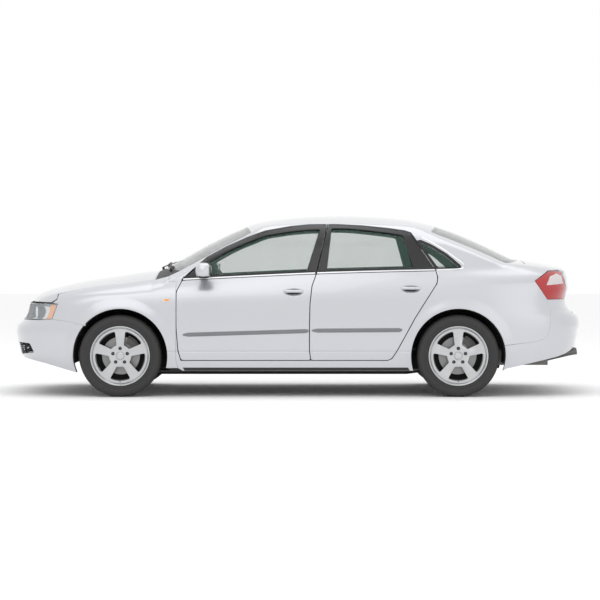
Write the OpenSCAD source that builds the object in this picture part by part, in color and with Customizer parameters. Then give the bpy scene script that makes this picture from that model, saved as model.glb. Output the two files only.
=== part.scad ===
// Four-door sedan car with opening doors, bonnet and boot lid, and steered front wheels.
// Millimetres, +Z up, the car faces -X and its left side is -Y.
// The origin is on the ground, under the middle of the car.

/* [Overall size] */
// Distance between the axles
wheelbase = 2650; // [2210:10:3180]
// Front axle to the front of the bumper
front_overhang = 884; // [740:2:1060]
// Rear axle to the back of the bumper
rear_overhang = 1013; // [845:1:1215]
// Width over the wheel arches, without mirrors
body_width = 1766; // [1640:2:2120]
// Height of the roof above the ground
body_height = 1428; // [1320:2:1714]

/* [Wheels] */
// Outer diameter of the tyres
tyre_d = 643; // [536:1:660]
// Width of a tyre
tyre_w = 225; // [188:1:235]
// Diameter of the wheel's outer lip
rim_d = 470; // [392:1:490]
// Distance between the middles of a pair of wheels
track = 1520; // [1440:2:1560]
// Gap between tyre and wheel arch
arch_gap = 49; // [45:1:60]
// Diameter of the brake discs
disc_d = 300; // [250:1:320]
// Diameter of the circle of wheel bolts
bolt_circle = 112; // [94:1:120]

/* [Panels] */
// Thickness of the roof, bonnet and boot lid
panel_t = 22; // [15:1:30]
// Thickness of the bumper covers and fenders
cover_t = 26; // [15:1:32]
// Gap around doors and lids
shut_gap = 6; // [5:0.5:9]
// Gap between the doors' window frames and the body
frame_gap = 12; // [9:0.5:14]
// Clearance between pieces that rest against each other
seat_gap = 0.3; // [0.2:0.1:0.5]
// Thickness of the window glass
glass_t = 6; // [4:1:8]

/* [Doors] */
// Thickness of a door's window frame
frame_t = 30; // [22:1:34]
// Distance from the middle of the car to the doors' inner faces
door_inner_y = 785; // [775:1:795]
// Thickness of the pillar walls behind the doors
pillar_t = 59; // [45:1:70]
// How far the door's inner half is set back from its edge
door_rebate = 14; // [10:1:18]

/* [Hidden] */
$fn = 48;

// Colours of the materials
paint = "gainsboro";
black = [0.09, 0.09, 0.1];
dark = [0.2, 0.2, 0.21];
metal = [0.62, 0.63, 0.65];
tinted = [0.45, 0.55, 0.52, 0.45];

// ---------- Proportions ----------
// The body is drawn at one base size and stretched to the driving dimensions.
base_front = -1389.5;
base_rear = 1260.5;
base_overhang = [884, 1013];
base_width = 1766;
base_height = 1428;
length = front_overhang + wheelbase + rear_overhang;
front_axle = front_overhang - length / 2;
rear_axle = front_axle + wheelbase;
hub_z = tyre_d / 2;
arch_r = hub_z + arch_gap;
wide = body_width / base_width;
high = body_height / base_height;

function at_x(x) =
  x < base_front ? front_axle + (x - base_front) * front_overhang / base_overhang[0]
  : x > base_rear ? rear_axle + (x - base_rear) * rear_overhang / base_overhang[1]
  : front_axle + (x - base_front) * wheelbase / (base_rear - base_front);
function at_y(y) = y * wide;
function at_z(z) = z * high;
function at(p) = [at_x(p[0]), at_y(p[1]), at_z(p[2])];
function side_view(points) = [for (p = points) [at_x(p[0]), at_z(p[1])]];
function top_view(points) = [for (p = points) [at_x(p[0]), at_y(p[1])]];
function front_view(points) = [for (p = points) [at_y(p[0]), at_z(p[1])]];

// ---------- Curves ----------
function clamp(v, low, top) = max(low, min(top, v));
function smooth(a, b, v) = let (u = clamp((v - a) / (b - a), 0, 1)) u * u * (3 - 2 * u);
function chord(p, i) = (p[i + 1][1] - p[i][1]) / (p[i + 1][0] - p[i][0]);
function knot_slope(p, i) =
  i == 0 ? chord(p, 0)
  : i == len(p) - 1 ? chord(p, i - 1)
  : let (back = p[i][0] - p[i - 1][0], ahead = p[i + 1][0] - p[i][0])
    (chord(p, i - 1) * ahead + chord(p, i) * back) / (back + ahead);
function span(p, x) = len([for (i = [1:len(p) - 2]) if (x >= p[i][0]) i]);

// Smooth curve through the points p, straight beyond its ends.
function curve(p, x) =
  let (last = len(p) - 1)
  x <= p[0][0] ? p[0][1] + (x - p[0][0]) * chord(p, 0)
  : x >= p[last][0] ? p[last][1] + (x - p[last][0]) * chord(p, last - 1)
  : let (
      i = span(p, x),
      h = p[i + 1][0] - p[i][0],
      u = (x - p[i][0]) / h,
      a = knot_slope(p, i) * h,
      b = knot_slope(p, i + 1) * h,
      d = p[i + 1][1] - p[i][1]
    )
    p[i][1] + a * u + (3 * d - 2 * a - b) * u * u + (a + b - 2 * d) * u * u * u;

// ---------- Lines of the body ----------
// Half width of the body's side against height
side_line = [
  [190, 826], [240, 838], [300, 848], [352, 856], [450, 864], [600, 869], [700, 867], [780, 860],
  [850, 846], [905, 829], [965, 803], [1100, 741], [1200, 690], [1335, 598], [1420, 520]
];
belt_line = [[-896, 916], [148, 965], [1316, 996]];
bonnet_line = [
  [-2196, 695], [-2131, 779], [-2065, 817], [-1933, 856], [-1736, 901], [-1472, 940],
  [-1209, 978], [-1100, 985]
];
bonnet_crown = [[-2182, 10], [-1800, 35], [-1400, 55], [-1000, 70]];
deck_line = [[1650, 1083], [1752, 1077], [1884, 1062], [2015, 1040], [2110, 1020], [2147, 1012]];
roof_line = [
  [-1300, 880], [-1100, 992], [-946, 1077], [-683, 1222], [-485, 1314], [-354, 1367], [-156, 1402],
  [239, 1428], [633, 1421], [962, 1388], [1226, 1314], [1489, 1205], [1752, 1077], [1900, 1005]
];
roof_crown = [[-900, 10], [-450, 40], [0, 75], [800, 75], [1150, 50], [1600, 15]];
// Nose and tail against height
nose_line = [
  [245, -2180], [305, -2230], [385, -2252], [450, -2268], [486, -2273], [522, -2273],
  [559, -2258], [601, -2212], [739, -2160]
];
tail_line = [
  [389, 2243], [490, 2260], [573, 2273], [632, 2254], [677, 2193], [876, 2182], [987, 2154],
  [1018, 2125]
];
// Radius of the edge between side and top
edge_line = [
  [-1150, 90], [-1020, 30], [-450, 30], [-350, 70], [1050, 70], [1150, 35], [1650, 35], [1750, 60]
];

// ---------- Surface of the body ----------
function side_height(x, z) = z - (curve(belt_line, x) - 965) * clamp((z - 350) / 615, 0, 1);
function plan(x, z) =
  x < -900 ? pow(1 - pow(clamp((-900 - x) / (-900 - curve(nose_line, z)), 0, 1), 5), 0.26)
  : x > 900 ? pow(1 - pow(clamp((x - 900) / (curve(tail_line, z) - 900), 0, 1), 6), 0.2455)
  : 1;
function flare(x, z) =
  let (d = min(norm([x - base_front, z - 321.5]), norm([x - base_rear, z - 321.5])))
  14 * (1 - smooth(370, 460, d)) * smooth(230, 420, z);
function half_width(x, z) =
  let (
    h = side_height(x, z),
    taper = 1 - 0.05 * smooth(850, 1000, h) * pow((x - 100) / 1400, 2)
  )
  curve(side_line, h) * taper * plan(x, z) + flare(x, z) * plan(x, z);
function bonnet_z(x, y) =
  curve(bonnet_line, x - 150 * pow(y / 750, 2)) - curve(bonnet_crown, x) * pow(y / 750, 2);
function deck_z(x, y) = curve(deck_line, x + 60 * pow(y / 700, 2)) - 45 * pow(y / 750, 2);
function screen_bow(x) = 165 * (1 - smooth(-450, -200, x)) - 160 * smooth(900, 1150, x);
function cabin_z(x, y) =
  curve(roof_line, x - screen_bow(x) * pow(y / 700, 2)) - curve(roof_crown, x) * pow(y / 600, 2);
function top_z(x, y) = max(x < 0 ? bonnet_z(x, y) : deck_z(x, y), cabin_z(x, y));

// Height at which side and top meet at a station x
function meet_z(x, low = 600, top = 1430, steps = 13) =
  let (m = (low + top) / 2)
  steps == 0 ? m
  : top_z(x, half_width(x, m)) > m ? meet_z(x, m, top, steps - 1)
  : meet_z(x, low, m, steps - 1);

// Cross-section at a station: up the side from z0, round the edge, and in to y_end.
function section(x, z0, y_end, n_side, n_arc, n_top) =
  let (zc = meet_z(x), yc = half_width(x, zc), r = lookup(x, edge_line))
  concat(
    [for (i = [0:n_side]) let (z = z0 + (zc - r - z0) * i / n_side) [x, half_width(x, z), z]],
    [for (i = [1:n_arc])
      let (dy = r * (1 - cos(90 * i / n_arc)), dz = r * (1 - sin(90 * i / n_arc)))
      [x, half_width(x, zc - dz) - dy, top_z(x, yc - dy) - dz]],
    [for (i = [1:n_top])
      let (y = yc - r + (y_end - yc + r) * i / n_top)
      [x, y, top_z(x, y)]]
  );
function steps(a, b, n) = [for (i = [0:n]) a + (b - a) * i / n];
function placed(grid) = [for (row = grid) [for (p = row) at(p)]];

// Grids of the painted surfaces. Every wall of a side is cut from the same grid.
side_grid = placed([for (x = steps(-1010, 2130, 36)) section(x, 196, 470, 11, 3, 1)]);
fender_grid = placed([for (x = steps(-2120, -930, 17)) section(x, 200, 560, 8, 4, 1)]);
function top_grid(x0, x1, n_x, y1, n_y) =
  placed([for (x = steps(x0, x1, n_x)) [for (y = steps(y1, -y1, n_y)) [x, y, top_z(x, y)]]]);

// Waterlines round the nose and the tail at height z, back to the station x_back
function wrap_angle(limit, i, n) = limit * (1 - 2 * i / n);
function nose_ring(z, n, x_back) =
  let (tip = -900 - curve(nose_line, z), limit = acos(pow((-900 - x_back) / tip, 2.5)))
  [for (i = [0:n])
    let (a = wrap_angle(limit, i, n), x = -900 - tip * pow(cos(a), 0.4))
    [x, sign(a) * half_width(x, z), z]];
function tail_ring(z, n, x_back) =
  let (tip = curve(tail_line, z) - 900, limit = acos(pow((x_back - 900) / tip, 3)))
  [for (i = [0:n])
    let (a = -wrap_angle(limit, i, n), x = 900 + tip * pow(cos(a), 1 / 3))
    [x, sign(a) * half_width(x, z), z]];

// Inner faces of the walls
function inward(grid, t, plane) = [for (row = grid) [for (p = row) [p[0], min(plane, p[1] - t), p[2]]]];
function outward(grid, t) = [for (row = grid) [for (p = row) [p[0], p[1] + t, p[2]]]];
function lowered(grid, t) = [for (row = grid) [for (p = row) [p[0], p[1], p[2] - t]]];
function inset(grid, t) = [
  for (row = grid)
    [for (i = [0:len(row) - 1])
      let (d = row[min(i + 1, len(row) - 1)] - row[max(i - 1, 0)], n = norm([d[0], d[1]]))
      row[i] + t / n * [-d[1], d[0], 0]]
];

// ---------- Building blocks ----------
// Closed wall between an outer and an inner grid of points
module wall(outer, inner) {
  cols = len(outer) - 1;
  rows = len(outer[0]) - 1;
  function at_outer(i, j) = i * (rows + 1) + j;
  function at_inner(i, j) = (cols + 1 + i) * (rows + 1) + j;
  function quad(a, b, c, d) = [[a, b, c], [a, c, d]];
  polyhedron(
    points = [for (grid = [outer, inner]) for (row = grid) for (p = row) p],
    faces = concat(
      [for (i = [0:cols - 1]) for (j = [0:rows - 1])
        for (f = quad(at_outer(i, j), at_outer(i + 1, j), at_outer(i + 1, j + 1), at_outer(i, j + 1))) f],
      [for (i = [0:cols - 1]) for (j = [0:rows - 1])
        for (f = quad(at_inner(i, j), at_inner(i, j + 1), at_inner(i + 1, j + 1), at_inner(i + 1, j))) f],
      [for (j = [0:rows - 1])
        for (f = quad(at_outer(0, j), at_outer(0, j + 1), at_inner(0, j + 1), at_inner(0, j))) f],
      [for (j = [0:rows - 1])
        for (f = quad(at_outer(cols, j + 1), at_outer(cols, j), at_inner(cols, j), at_inner(cols, j + 1))) f],
      [for (i = [0:cols - 1])
        for (f = quad(at_outer(i + 1, 0), at_outer(i, 0), at_inner(i, 0), at_inner(i + 1, 0))) f],
      [for (i = [0:cols - 1])
        for (f = quad(at_outer(i, rows), at_outer(i + 1, rows), at_inner(i + 1, rows), at_inner(i, rows))) f]
    )
  );
}

// A freeform panel is one closed mesh. Resizing to 0 keeps its size.
module panel() {
  resize([0, 0, 0]) children();
}
module mirrored() {
  mirror([0, 1, 0]) children();
}
module both_sides() {
  children();
  mirrored() children();
}
// Prisms that cut panels: seen from the side, from above and from the front
module side_prism(points, y0 = 0, y1 = 1200, grow = 0) {
  translate([0, y1, 0]) rotate([90, 0, 0]) linear_extrude(y1 - y0)
    offset(delta = grow) polygon(side_view(points));
}
module top_prism(points, z0, z1, grow = 0) {
  translate([0, 0, z0]) linear_extrude(z1 - z0) offset(delta = grow) polygon(top_view(points));
}
module front_prism(points, x0, x1, grow = 0) {
  translate([x0, 0, 0]) rotate([90, 0, 90]) linear_extrude(x1 - x0)
    offset(delta = grow) polygon(front_view(points));
}
// Box between two corners
module block(a, b) {
  translate([min(a[0], b[0]), min(a[1], b[1]), min(a[2], b[2])])
    cube([abs(b[0] - a[0]), abs(b[1] - a[1]), abs(b[2] - a[2])]);
}
// Rod between two points
module rod(a, b, r) {
  d = b - a;
  translate(a) rotate([0, acos(d[2] / norm(d)), atan2(d[1], d[0])]) cylinder(h = norm(d), r = r);
}
// Wheel arch: a drum about an axle, seen from the side
module arch(x, r, y0 = 0, y1 = 1200) {
  translate([x, y1, hub_z]) rotate([90, 0, 0]) cylinder(h = y1 - y0, r = r, $fn = 64);
}

// ---------- Outlines, seen from the side ----------
front_door_outline = [
  [-911, 289], [-933, 363], [-947, 546], [-947, 823], [-901, 916], [-712, 1088], [-560, 1172],
  [-405, 1241], [-253, 1296], [-53, 1332], [100, 1347], [232, 1348], [146, 965], [111, 870],
  [95, 731], [91, 546], [91, 363], [101, 289]
];
rear_door_outline = [
  [107, 289], [97, 363], [97, 546], [101, 731], [117, 870], [152, 965], [244, 1348], [322, 1348],
  [520, 1337], [719, 1316], [848, 1297], [893, 1282], [1078, 1004], [1098, 940], [1090, 890],
  [1017, 777], [918, 621], [848, 492], [778, 363], [738, 303], [709, 289]
];
front_window = [
  [-700, 942], [-697, 1056], [-550, 1142], [-400, 1211], [-251, 1266], [-52, 1300], [100, 1314],
  [181, 1316], [76, 974]
];
rear_window_side = [
  [230, 984], [271, 1324], [400, 1322], [520, 1312], [719, 1288], [834, 1268], [912, 1002]
];
quarter_window = [[1105, 1014], [1275, 1014], [1165, 1108], [1050, 1178], [962, 1216]];
fender_seam = [[-1930, 607], [-1800, 590], [-1660, 560]];
quarter_seam = [
  [1600, 402], [1850, 430], [1935, 452], [1970, 490], [1985, 560], [1990, 680], [1962, 762.7]
];
body_side_outline = concat(
  [[-1010, 905], [-953, 905], [-953, 290], [-935, 225], [-900, 204], [1300, 204]],
  quarter_seam,
  [[1860, 910], [1983, 991], [2130, 991], [2130, 1300], [1200, 1450], [-1010, 1450]]
);
tail_lamp_outline = [[1866, 910], [1985, 985], [2400, 985], [2400, 763], [1967, 763]];
headlamp_outline = [[-1883, 728], [-1929, 607.5], [-2000, 602.5], [-2400, 602.5], [-2400, 722], [-2000, 733]];
bonnet_corner = [[-2400, 730], [-2000, 739], [-1938, 739], [-1893, 771], [-1893, 930], [-2400, 930]];
fender_outline = concat(
  [[-935.4, 225], [-953.4, 290], [-953.4, 904.5], [-1010.5, 904.5], [-1010.5, 1100], [-1883, 1100],
   [-1883, 768], [-1928, 736]],
  [[-1882.2, 728.5], [-1926.9, 607.8]],
  [for (p = fender_seam) [p[0] + 1.8, p[1] + 0.5]],
  [[-1600, 225]]
);
front_bumper_outline = concat(
  [[-1690, 185], [-1749, 185], [-1990, 259], [-2196, 305], [-2400, 330], [-2400, 602], [-2000, 602]],
  fender_seam,
  [[-1640, 400]]
);
rear_bumper_outline = concat(
  [[1640, 221], [2050, 312], [2120, 335], [2400, 380], [2400, 762.4]],
  [for (i = [6:-1:1]) [quarter_seam[i][0] + 0.5, quarter_seam[i][1] - 0.3]],
  [[1605, 396], [1605, 221]]
);

// ---------- Outlines, seen from above (right half, from front to back) ----------
function whole(half) = concat(half, [for (i = [len(half) - 1:-1:0]) [half[i][0], -half[i][1]]]);
screen_base = [[-1090, 0.01], [-1078, 190], [-1046, 365], [-990, 545], [-930, 690]];
screen_head = [[-372, 548], [-378, 495], [-404, 280], [-420, 0.01]];
roof_back = [[1066, 548], [1074, 495], [1112, 280], [1125, 0.01]];
back_base = [[1790, 0.01], [1778, 250], [1740, 450], [1676, 640]];
lid_front_x = 1815;
lid_y = 560;
bonnet_back_x = -1125;
bonnet_y = 700;
screen_outline = whole(concat(screen_base, screen_head));
roof_outline = whole([[-419, 0.01], [-403, 280], [-377, 495], [1073, 495], [1111, 280], [1124, 0.01]]);
back_outline = whole(concat([roof_back[3], roof_back[2], roof_back[1], roof_back[0], [1400, 600]],
  [back_base[3], back_base[2], back_base[1], back_base[0]]));
deck_outline = whole([[1791, 0.01], [1779, 251], [1741, 451], [1677, 641], [1809, 566], [1809, 0.01]]);
lid_cut = [[1700, -566], [1700, 566], [2400, 566], [2400, -566]];

// ---------- Body sides ----------
recess_y = door_inner_y * wide - shut_gap;
pillar_y = recess_y - pillar_t;
belt_cut = [[-1100, 930], [148, 972], [1316, 1001], [1316, 1500], [-1100, 1500]];

// Hole for a door in the body side, wider round the window frame
module door_recess(outline) {
  intersection() {
    wall(outward(side_grid, 20), inward(side_grid, frame_t + shut_gap, recess_y));
    union() {
      side_prism(outline, 0, 1200, shut_gap);
      intersection() {
        side_prism(outline, 0, 1200, frame_gap);
        side_prism(belt_cut);
      }
    }
  }
}
// Everything between the two body sides: screens, roof, rear deck and boot lid
module top_openings() {
  for (outline = [cowl_outline, screen_outline, roof_outline, back_outline, deck_outline])
    top_prism(outline, 600, 1800, seat_gap);
  top_prism(lid_cut, 600, 1800);
}
module body_side() {
  color(paint) panel() {
    difference() {
      intersection() {
        wall(side_grid, inward(side_grid, frame_t + shut_gap + 44, pillar_y));
        side_prism(body_side_outline);
      }
      door_recess(front_door_outline);
      door_recess(rear_door_outline);
      side_prism(front_door_outline, 0, 1200, -30);
      side_prism(rear_door_outline, 0, 1200, -30);
      side_prism(quarter_window);
      top_openings();
      arch(rear_axle, arch_r);
      side_prism(tail_lamp_outline, 0, 1200, seat_gap);
    }
    block([at_x(-1004), pillar_y, at_z(204)], [at_x(-940), recess_y, at_z(870)]);
  }
}
module body_side_right() { body_side(); }
module body_side_left() { mirrored() body_side(); }

// Ends and height of the door handles
front_handle = [-105, 48, 814];
rear_handle = [812, 968, 838];
module door(outline, window, handle) {
  color(paint) panel() difference() {
    union() {
      block([at_x(handle[0]), at_y(835), at_z(handle[2])], [at_x(handle[1]), at_y(886), at_z(handle[2]) + 26]);
      intersection() {
        wall(side_grid, inward(side_grid, frame_t, (door_inner_y + 40) * wide));
        side_prism(outline);
      }
      intersection() {
        wall(side_grid, inward(side_grid, frame_t, door_inner_y * wide));
        side_prism(outline, 0, 1200, -door_rebate);
      }
    }
    side_prism(window);
  }
}
// Glass between two depths under the side's surface
module side_glass(window, clear) {
  color(tinted) panel() intersection() {
    wall(outward(side_grid, -frame_t / 2 + glass_t / 2), inward(side_grid, frame_t / 2 + glass_t / 2, 2000));
    side_prism(window, 0, 1200, -clear);
  }
}
module front_door_right() { door(front_door_outline, front_window, front_handle); }
module front_door_left() { mirrored() door(front_door_outline, front_window, front_handle); }
module rear_door_right() { door(rear_door_outline, rear_window_side, rear_handle); }
module rear_door_left() { mirrored() door(rear_door_outline, rear_window_side, rear_handle); }
module front_glass_right() { side_glass(front_window, seat_gap); }
module front_glass_left() { mirrored() side_glass(front_window, seat_gap); }
module rear_glass_right() { side_glass(rear_window_side, seat_gap); }
module rear_glass_left() { mirrored() side_glass(rear_window_side, seat_gap); }
module quarter_windows() { both_sides() side_glass(quarter_window, seat_gap); }

// Rubber pads that the shut doors and lids rest against
pad_at = [[-1500, bonnet_y], [1930, lid_y]];
module door_seals() {
  color(black) both_sides() {
    for (p = pad_at)
      block([at_x(p[0]), at_y(p[1]) + seat_gap, at_z(top_z(p[0], p[1])) - 16],
        [at_x(p[0] + 24), at_y(p[1]) + shut_gap * wide, at_z(top_z(p[0], p[1])) - 8]);
    for (x = [-924, 66, 133])
      block([at_x(x) - 6, recess_y, at_z(460)], [at_x(x) + 6, door_inner_y * wide - seat_gap, at_z(720)]);
    block([at_x(735), recess_y, at_z(420)], [at_x(747), door_inner_y * wide - seat_gap, at_z(428)]);
  }
}

// ---------- Top panels ----------
module top_panel(grid, outline, t) {
  panel() intersection() {
    wall(grid, lowered(grid, t));
    top_prism(outline, 500, 1800);
  }
}
module roof_panel() {
  color(paint) top_panel(top_grid(-430, 1140, 18, 500, 6), roof_outline, panel_t);
}
module windscreen() {
  color(tinted) top_panel(top_grid(-1095, -365, 8, 700, 8), screen_outline, glass_t * 1.2);
}
module rear_window() {
  color(tinted) top_panel(top_grid(1060, 1795, 8, 645, 8), back_outline, glass_t * 1.2);
}
module rear_deck() {
  color(paint) top_panel(top_grid(1670, 1815, 3, 645, 8), deck_outline, panel_t);
}
cowl_outline = whole([[bonnet_back_x + 6, 0.01], [bonnet_back_x + 6, 690], [-930.6, 690], [-990.6, 545],
  [-1046.6, 365], [-1078.6, 190], [-1090.6, 0.01]]);
module cowl_panel() {
  color(black) top_panel(top_grid(-1125, -925, 8, 700, 10), cowl_outline, panel_t);
}
bonnet_outline = whole([[-2164, 0.01], [-2152, 330], [-2093, 560], [-2018, 700], [bonnet_back_x, 700],
  [bonnet_back_x, 0.01]]);
// Front edge of the bonnet's corners, above the headlamps
lamp_front = [[-2075, 640], [-2000, 720], [-1980, 900], [-1800, 900], [-1800, 640]];
bonnet_grid = top_grid(-2175, -1115, 14, 720, 8);
module bonnet() {
  color(paint) panel() {
    intersection() {
      wall(bonnet_grid, lowered(bonnet_grid, panel_t));
      top_prism(bonnet_outline, 500, 1500);
      side_prism([[-2400, 731], [-2000, 741], [-1000, 741], [-1000, 1200], [-2400, 1200]], -1200, 1200);
    }
    both_sides() intersection() {
      wall(fender_grid, inward(fender_grid, cover_t, 2000));
      side_prism(bonnet_corner, at_y(694), 1200);
      top_prism(lamp_front, 500, 1500);
    }
  }
}
lid_outline = whole([[lid_front_x, lid_y], [2124, lid_y]]);
module boot_lid() {
  grid = [for (z = steps(662, 1012, 6)) [for (p = tail_ring(z, 18, 1990)) at(p)]];
  color(paint) panel() {
    intersection() {
      wall(top_grid(1810, 2130, 5, 570, 8), lowered(top_grid(1810, 2130, 5, 570, 8), panel_t));
      top_prism(lid_outline, 500, 1500);
    }
    intersection() {
      wall(grid, inset(grid, panel_t));
      block([at_x(1900), -at_y(lid_y), 0], [at_x(2400), at_y(lid_y), 2000]);
    }
  }
}

// ---------- Front and rear ----------
module fenders() {
  color(paint) both_sides() panel() difference() {
    intersection() {
      wall(fender_grid, inward(fender_grid, cover_t, 2000));
      side_prism(fender_outline);
    }
    top_prism(whole([[-2400, bonnet_y + shut_gap], [bonnet_back_x + 6, bonnet_y + shut_gap],
      [bonnet_back_x + 6, 690.4], [-900, 690.4]]), 600, 1500);
    arch(front_axle, arch_r);
  }
}
module front_bumper() {
  grid = [for (z = [232, 270, 305, 345, 400, 450, 486, 522, 545, 565, 585, 605])
    [for (p = nose_ring(z, 22, -1640)) at(p)]];
  color(paint) panel() difference() {
    intersection() {
      wall(grid, inset(grid, cover_t));
      side_prism(front_bumper_outline, -1200, 1200);
    }
    arch(front_axle, arch_r, -1200, 1200);
    front_prism([[-430, 312], [430, 312], [400, 372], [-400, 372]], -2600, -1900);
    both_sides() front_prism([[505, 322], [705, 340], [690, 415], [500, 420]], -2600, -1900);
  }
}
module rear_bumper() {
  grid = [for (z = [215, 270, 330, 389, 440, 490, 535, 573, 605, 632, 655, 677, 720, 765])
    [for (p = tail_ring(z, 22, 1590)) at(p)]];
  color(paint) panel() difference() {
    intersection() {
      wall(grid, inset(grid, cover_t));
      side_prism(rear_bumper_outline, -1200, 1200);
    }
    arch(rear_axle, arch_r, -1200, 1200);
    block([0, -at_y(lid_y + 6), at_z(655)], [5000, at_y(lid_y + 6), 2000]);
    both_sides() front_prism([[430, 200], [640, 200], [640, 372], [430, 372]], 1900, 2600);
  }
}
// Black grilles behind the openings of the bumper and between the headlamps
module grilles() {
  low = [for (z = [300, 345, 385, 425]) [for (p = nose_ring(z, 22, -1640)) at(p)]];
  top = [for (z = [603, 660, 712]) [for (p = nose_ring(z, 22, -1640)) at(p)]];
  color(black) panel() difference() {
    intersection() {
      wall(inset(low, 6), inset(low, 20));
      union() {
        front_prism([[-430, 312], [430, 312], [400, 372], [-400, 372]], -2600, -1900, -seat_gap);
        both_sides() front_prism([[505, 322], [705, 340], [690, 415], [500, 420]], -2600, -1900, -seat_gap);
      }
    }
    translate([-3000, tow_at[1], at_z(tow_at[2])]) rotate([0, 90, 0]) cylinder(h = 1000, r = tow_r + 12);
  }
  color(black) panel() {
    intersection() {
      wall(top, inset(top, 30));
      front_prism([[-300, 590], [300, 590], [330, 715], [-330, 715]], -2600, -1900);
    }
  }
}
module headlamps() {
  grid = [for (z = steps(604, 734, 5)) [for (p = nose_ring(z, 22, -1860)) at(p)]];
  color([0.8, 0.83, 0.85]) both_sides() panel() intersection() {
    wall(grid, inset(grid, 60));
    side_prism(headlamp_outline);
    front_prism([[300.5, 590], [1200, 590], [1200, 800], [350.9, 800]], -2600, -1700);
  }
}
module tail_lamps() {
  grid = [for (z = steps(762, 987, 5)) [for (p = tail_ring(z, 22, 1840)) at(p)]];
  color("firebrick") both_sides() panel() intersection() {
    wall(grid, inset(grid, 50));
    side_prism(tail_lamp_outline);
    block([0, at_y(lid_y + 6), 0], [5000, 2000, 2000]);
  }
}

// ---------- Floor, walls and liners ----------
floor_low = 190;
floor_top = 215;
liner_in = [480, 560];
step_x = rear_axle - arch_r - 8;
boot_floor = [hub_z + 34, hub_z + 52];
module floor_pan() {
  wide_y = pillar_y - seat_gap;
  color(dark) {
    block([at_x(-1010), -wide_y, at_z(floor_low)], [step_x, wide_y, at_z(floor_top)]);
    // Step up to the boot floor
    block([step_x - 12, -wide_y + 60, at_z(floor_top) - 1], [step_x, wide_y - 60, boot_floor[1]]);
    block([step_x - 1, -liner_in[1] + seat_gap, boot_floor[0]], [at_x(2113), liner_in[1] - seat_gap, boot_floor[1]]);
  }
}
// Tow socket behind the lower grille
tow_at = [-2200, 300, 345];
tow_r = 9;
tow_depth = 60;
module bulkheads() {
  wall_y = liner_in[1] - 1;
  color(dark) {
    // Firewall
    block([at_x(-1000), -pillar_y + 0.5, at_z(floor_top) + seat_gap], [at_x(-985), pillar_y - 0.5, at_z(900)]);
    // Wall behind the rear seat
    block([at_x(1050.5), -wall_y, boot_floor[1] + seat_gap], [at_x(1060), wall_y, at_z(905)]);
    difference() {
      union() {
        // Radiator panel, front bumper beam, rails and tow bracket
        block([at_x(-2060), -470, at_z(300)], [at_x(-2045), 470, at_z(690)]);
        block([at_x(-2200), -480, at_z(470)], [at_x(-2059), 480, at_z(520)]);
        both_sides() block([at_x(-2046), 400, at_z(420)], [at_x(-1000) - seat_gap, 460, at_z(500)]);
        block([at_x(tow_at[0]), tow_at[1] - 26, at_z(tow_at[2]) - 26],
          [at_x(-2059), tow_at[1] + 26, at_z(tow_at[2]) + 26]);
      }
      translate([at_x(tow_at[0]) - 1, tow_at[1], at_z(tow_at[2])]) rotate([0, 90, 0])
        cylinder(h = tow_depth + 1, r = tow_r);
    }
    // Wall and beam behind the rear bumper
    block([at_x(2100), -540, boot_floor[1] + seat_gap], [at_x(2112), 540, at_z(640)]);
    block([at_x(2111), -480, at_z(480)], [at_x(2195), 480, at_z(540)]);
  }
}
liner_gap = 0.8;
module liner(x, y0) {
  difference() {
    arch(x, arch_r - liner_gap, y0, body_width / 2 - 45);
    arch(x, arch_r - 5, y0 - 1, body_width / 2);
    block([x - 600, 0, -hub_z], [x + 600, 1200, hub_z - 60]);
  }
}
module wheel_liners() {
  color(black) both_sides() {
    liner(front_axle, liner_in[0]);
    liner(rear_axle, liner_in[1]);
  }
}

// ---------- Inside ----------
module cross_bar(points, y0, y1) {
  translate([0, y1, 0]) rotate([90, 0, 0]) linear_extrude(y1 - y0) offset(r = 12, $fn = 16) offset(delta = -12)
    polygon(side_view(points));
}
module dashboard() {
  color(dark) {
    cross_bar([[-984.7, 880], [-930, 915], [-780, 915], [-690, 885], [-670, 800], [-700, 690], [-800, 640],
      [-984.7, 640]], -pillar_y + 20, pillar_y - 20);
    // Centre console
    cross_bar([[-800, 639.7], [-690, 639.7], [-560, 470], [-150, 440], [150, 470], [150, 215.3], [-984.7, 215.3],
      [-984.7, 639.7]], -95, 95);
  }
}
wheel_at = [-560, -360, 820];
module steering_wheel() {
  color(black) translate(at(wheel_at)) rotate([0, -114, 0]) {
    rotate_extrude() translate([178, 0]) circle(r = 14, $fn = 24);
    cylinder(h = 30, r = 60, center = true);
    for (a = [0, 120, 240]) rotate([0, 0, a]) translate([50, -14, -6]) cube([120, 28, 12]);
    translate([0, 0, 14]) cylinder(h = 94, r = 26);
  }
}
seat_y = 360;
module front_seat() {
  cross_bar([[-480, 330], [-480, 440], [-440, 470], [0, 420], [60, 330]], -245, 245);
  cross_bar([[-14, 395], [62, 390], [240, 980], [200, 1010], [130, 1010], [70, 900]], -240, 240);
  cross_bar([[145, 1035], [175, 1190], [215, 1200], [262, 1160], [235, 1035]], -130, 130);
  for (y = [-60, 60]) translate([0, y, 0]) rod(at([182, 0, 1005]), at([192, 0, 1040]), 7);
  for (y = [-180, 180]) block([at_x(-440), y - 20, at_z(floor_top) + seat_gap], [at_x(20), y + 20, at_z(330)]);
}
module front_seats() {
  color([0.3, 0.3, 0.29]) both_sides() translate([0, at_y(seat_y), 0]) front_seat();
}
module rear_seat() {
  color([0.3, 0.3, 0.29]) {
    cross_bar([[500, 215.3], [470, 400], [520, 450], [960, 420], [960, 378], [864, 378], [864, 215.3]], -555, 555);
    cross_bar([[880, 425], [975, 425], [1050, 480], [1050, 900], [1030, 960], [960, 960]], -555, 555);
    for (y = [-360, 0, 360]) translate([0, y, 0])
      cross_bar([[975, 960.3], [985, 1080], [1010, 1100], [1050, 1085], [1045, 960.3]], -110, 110);
  }
}

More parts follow.
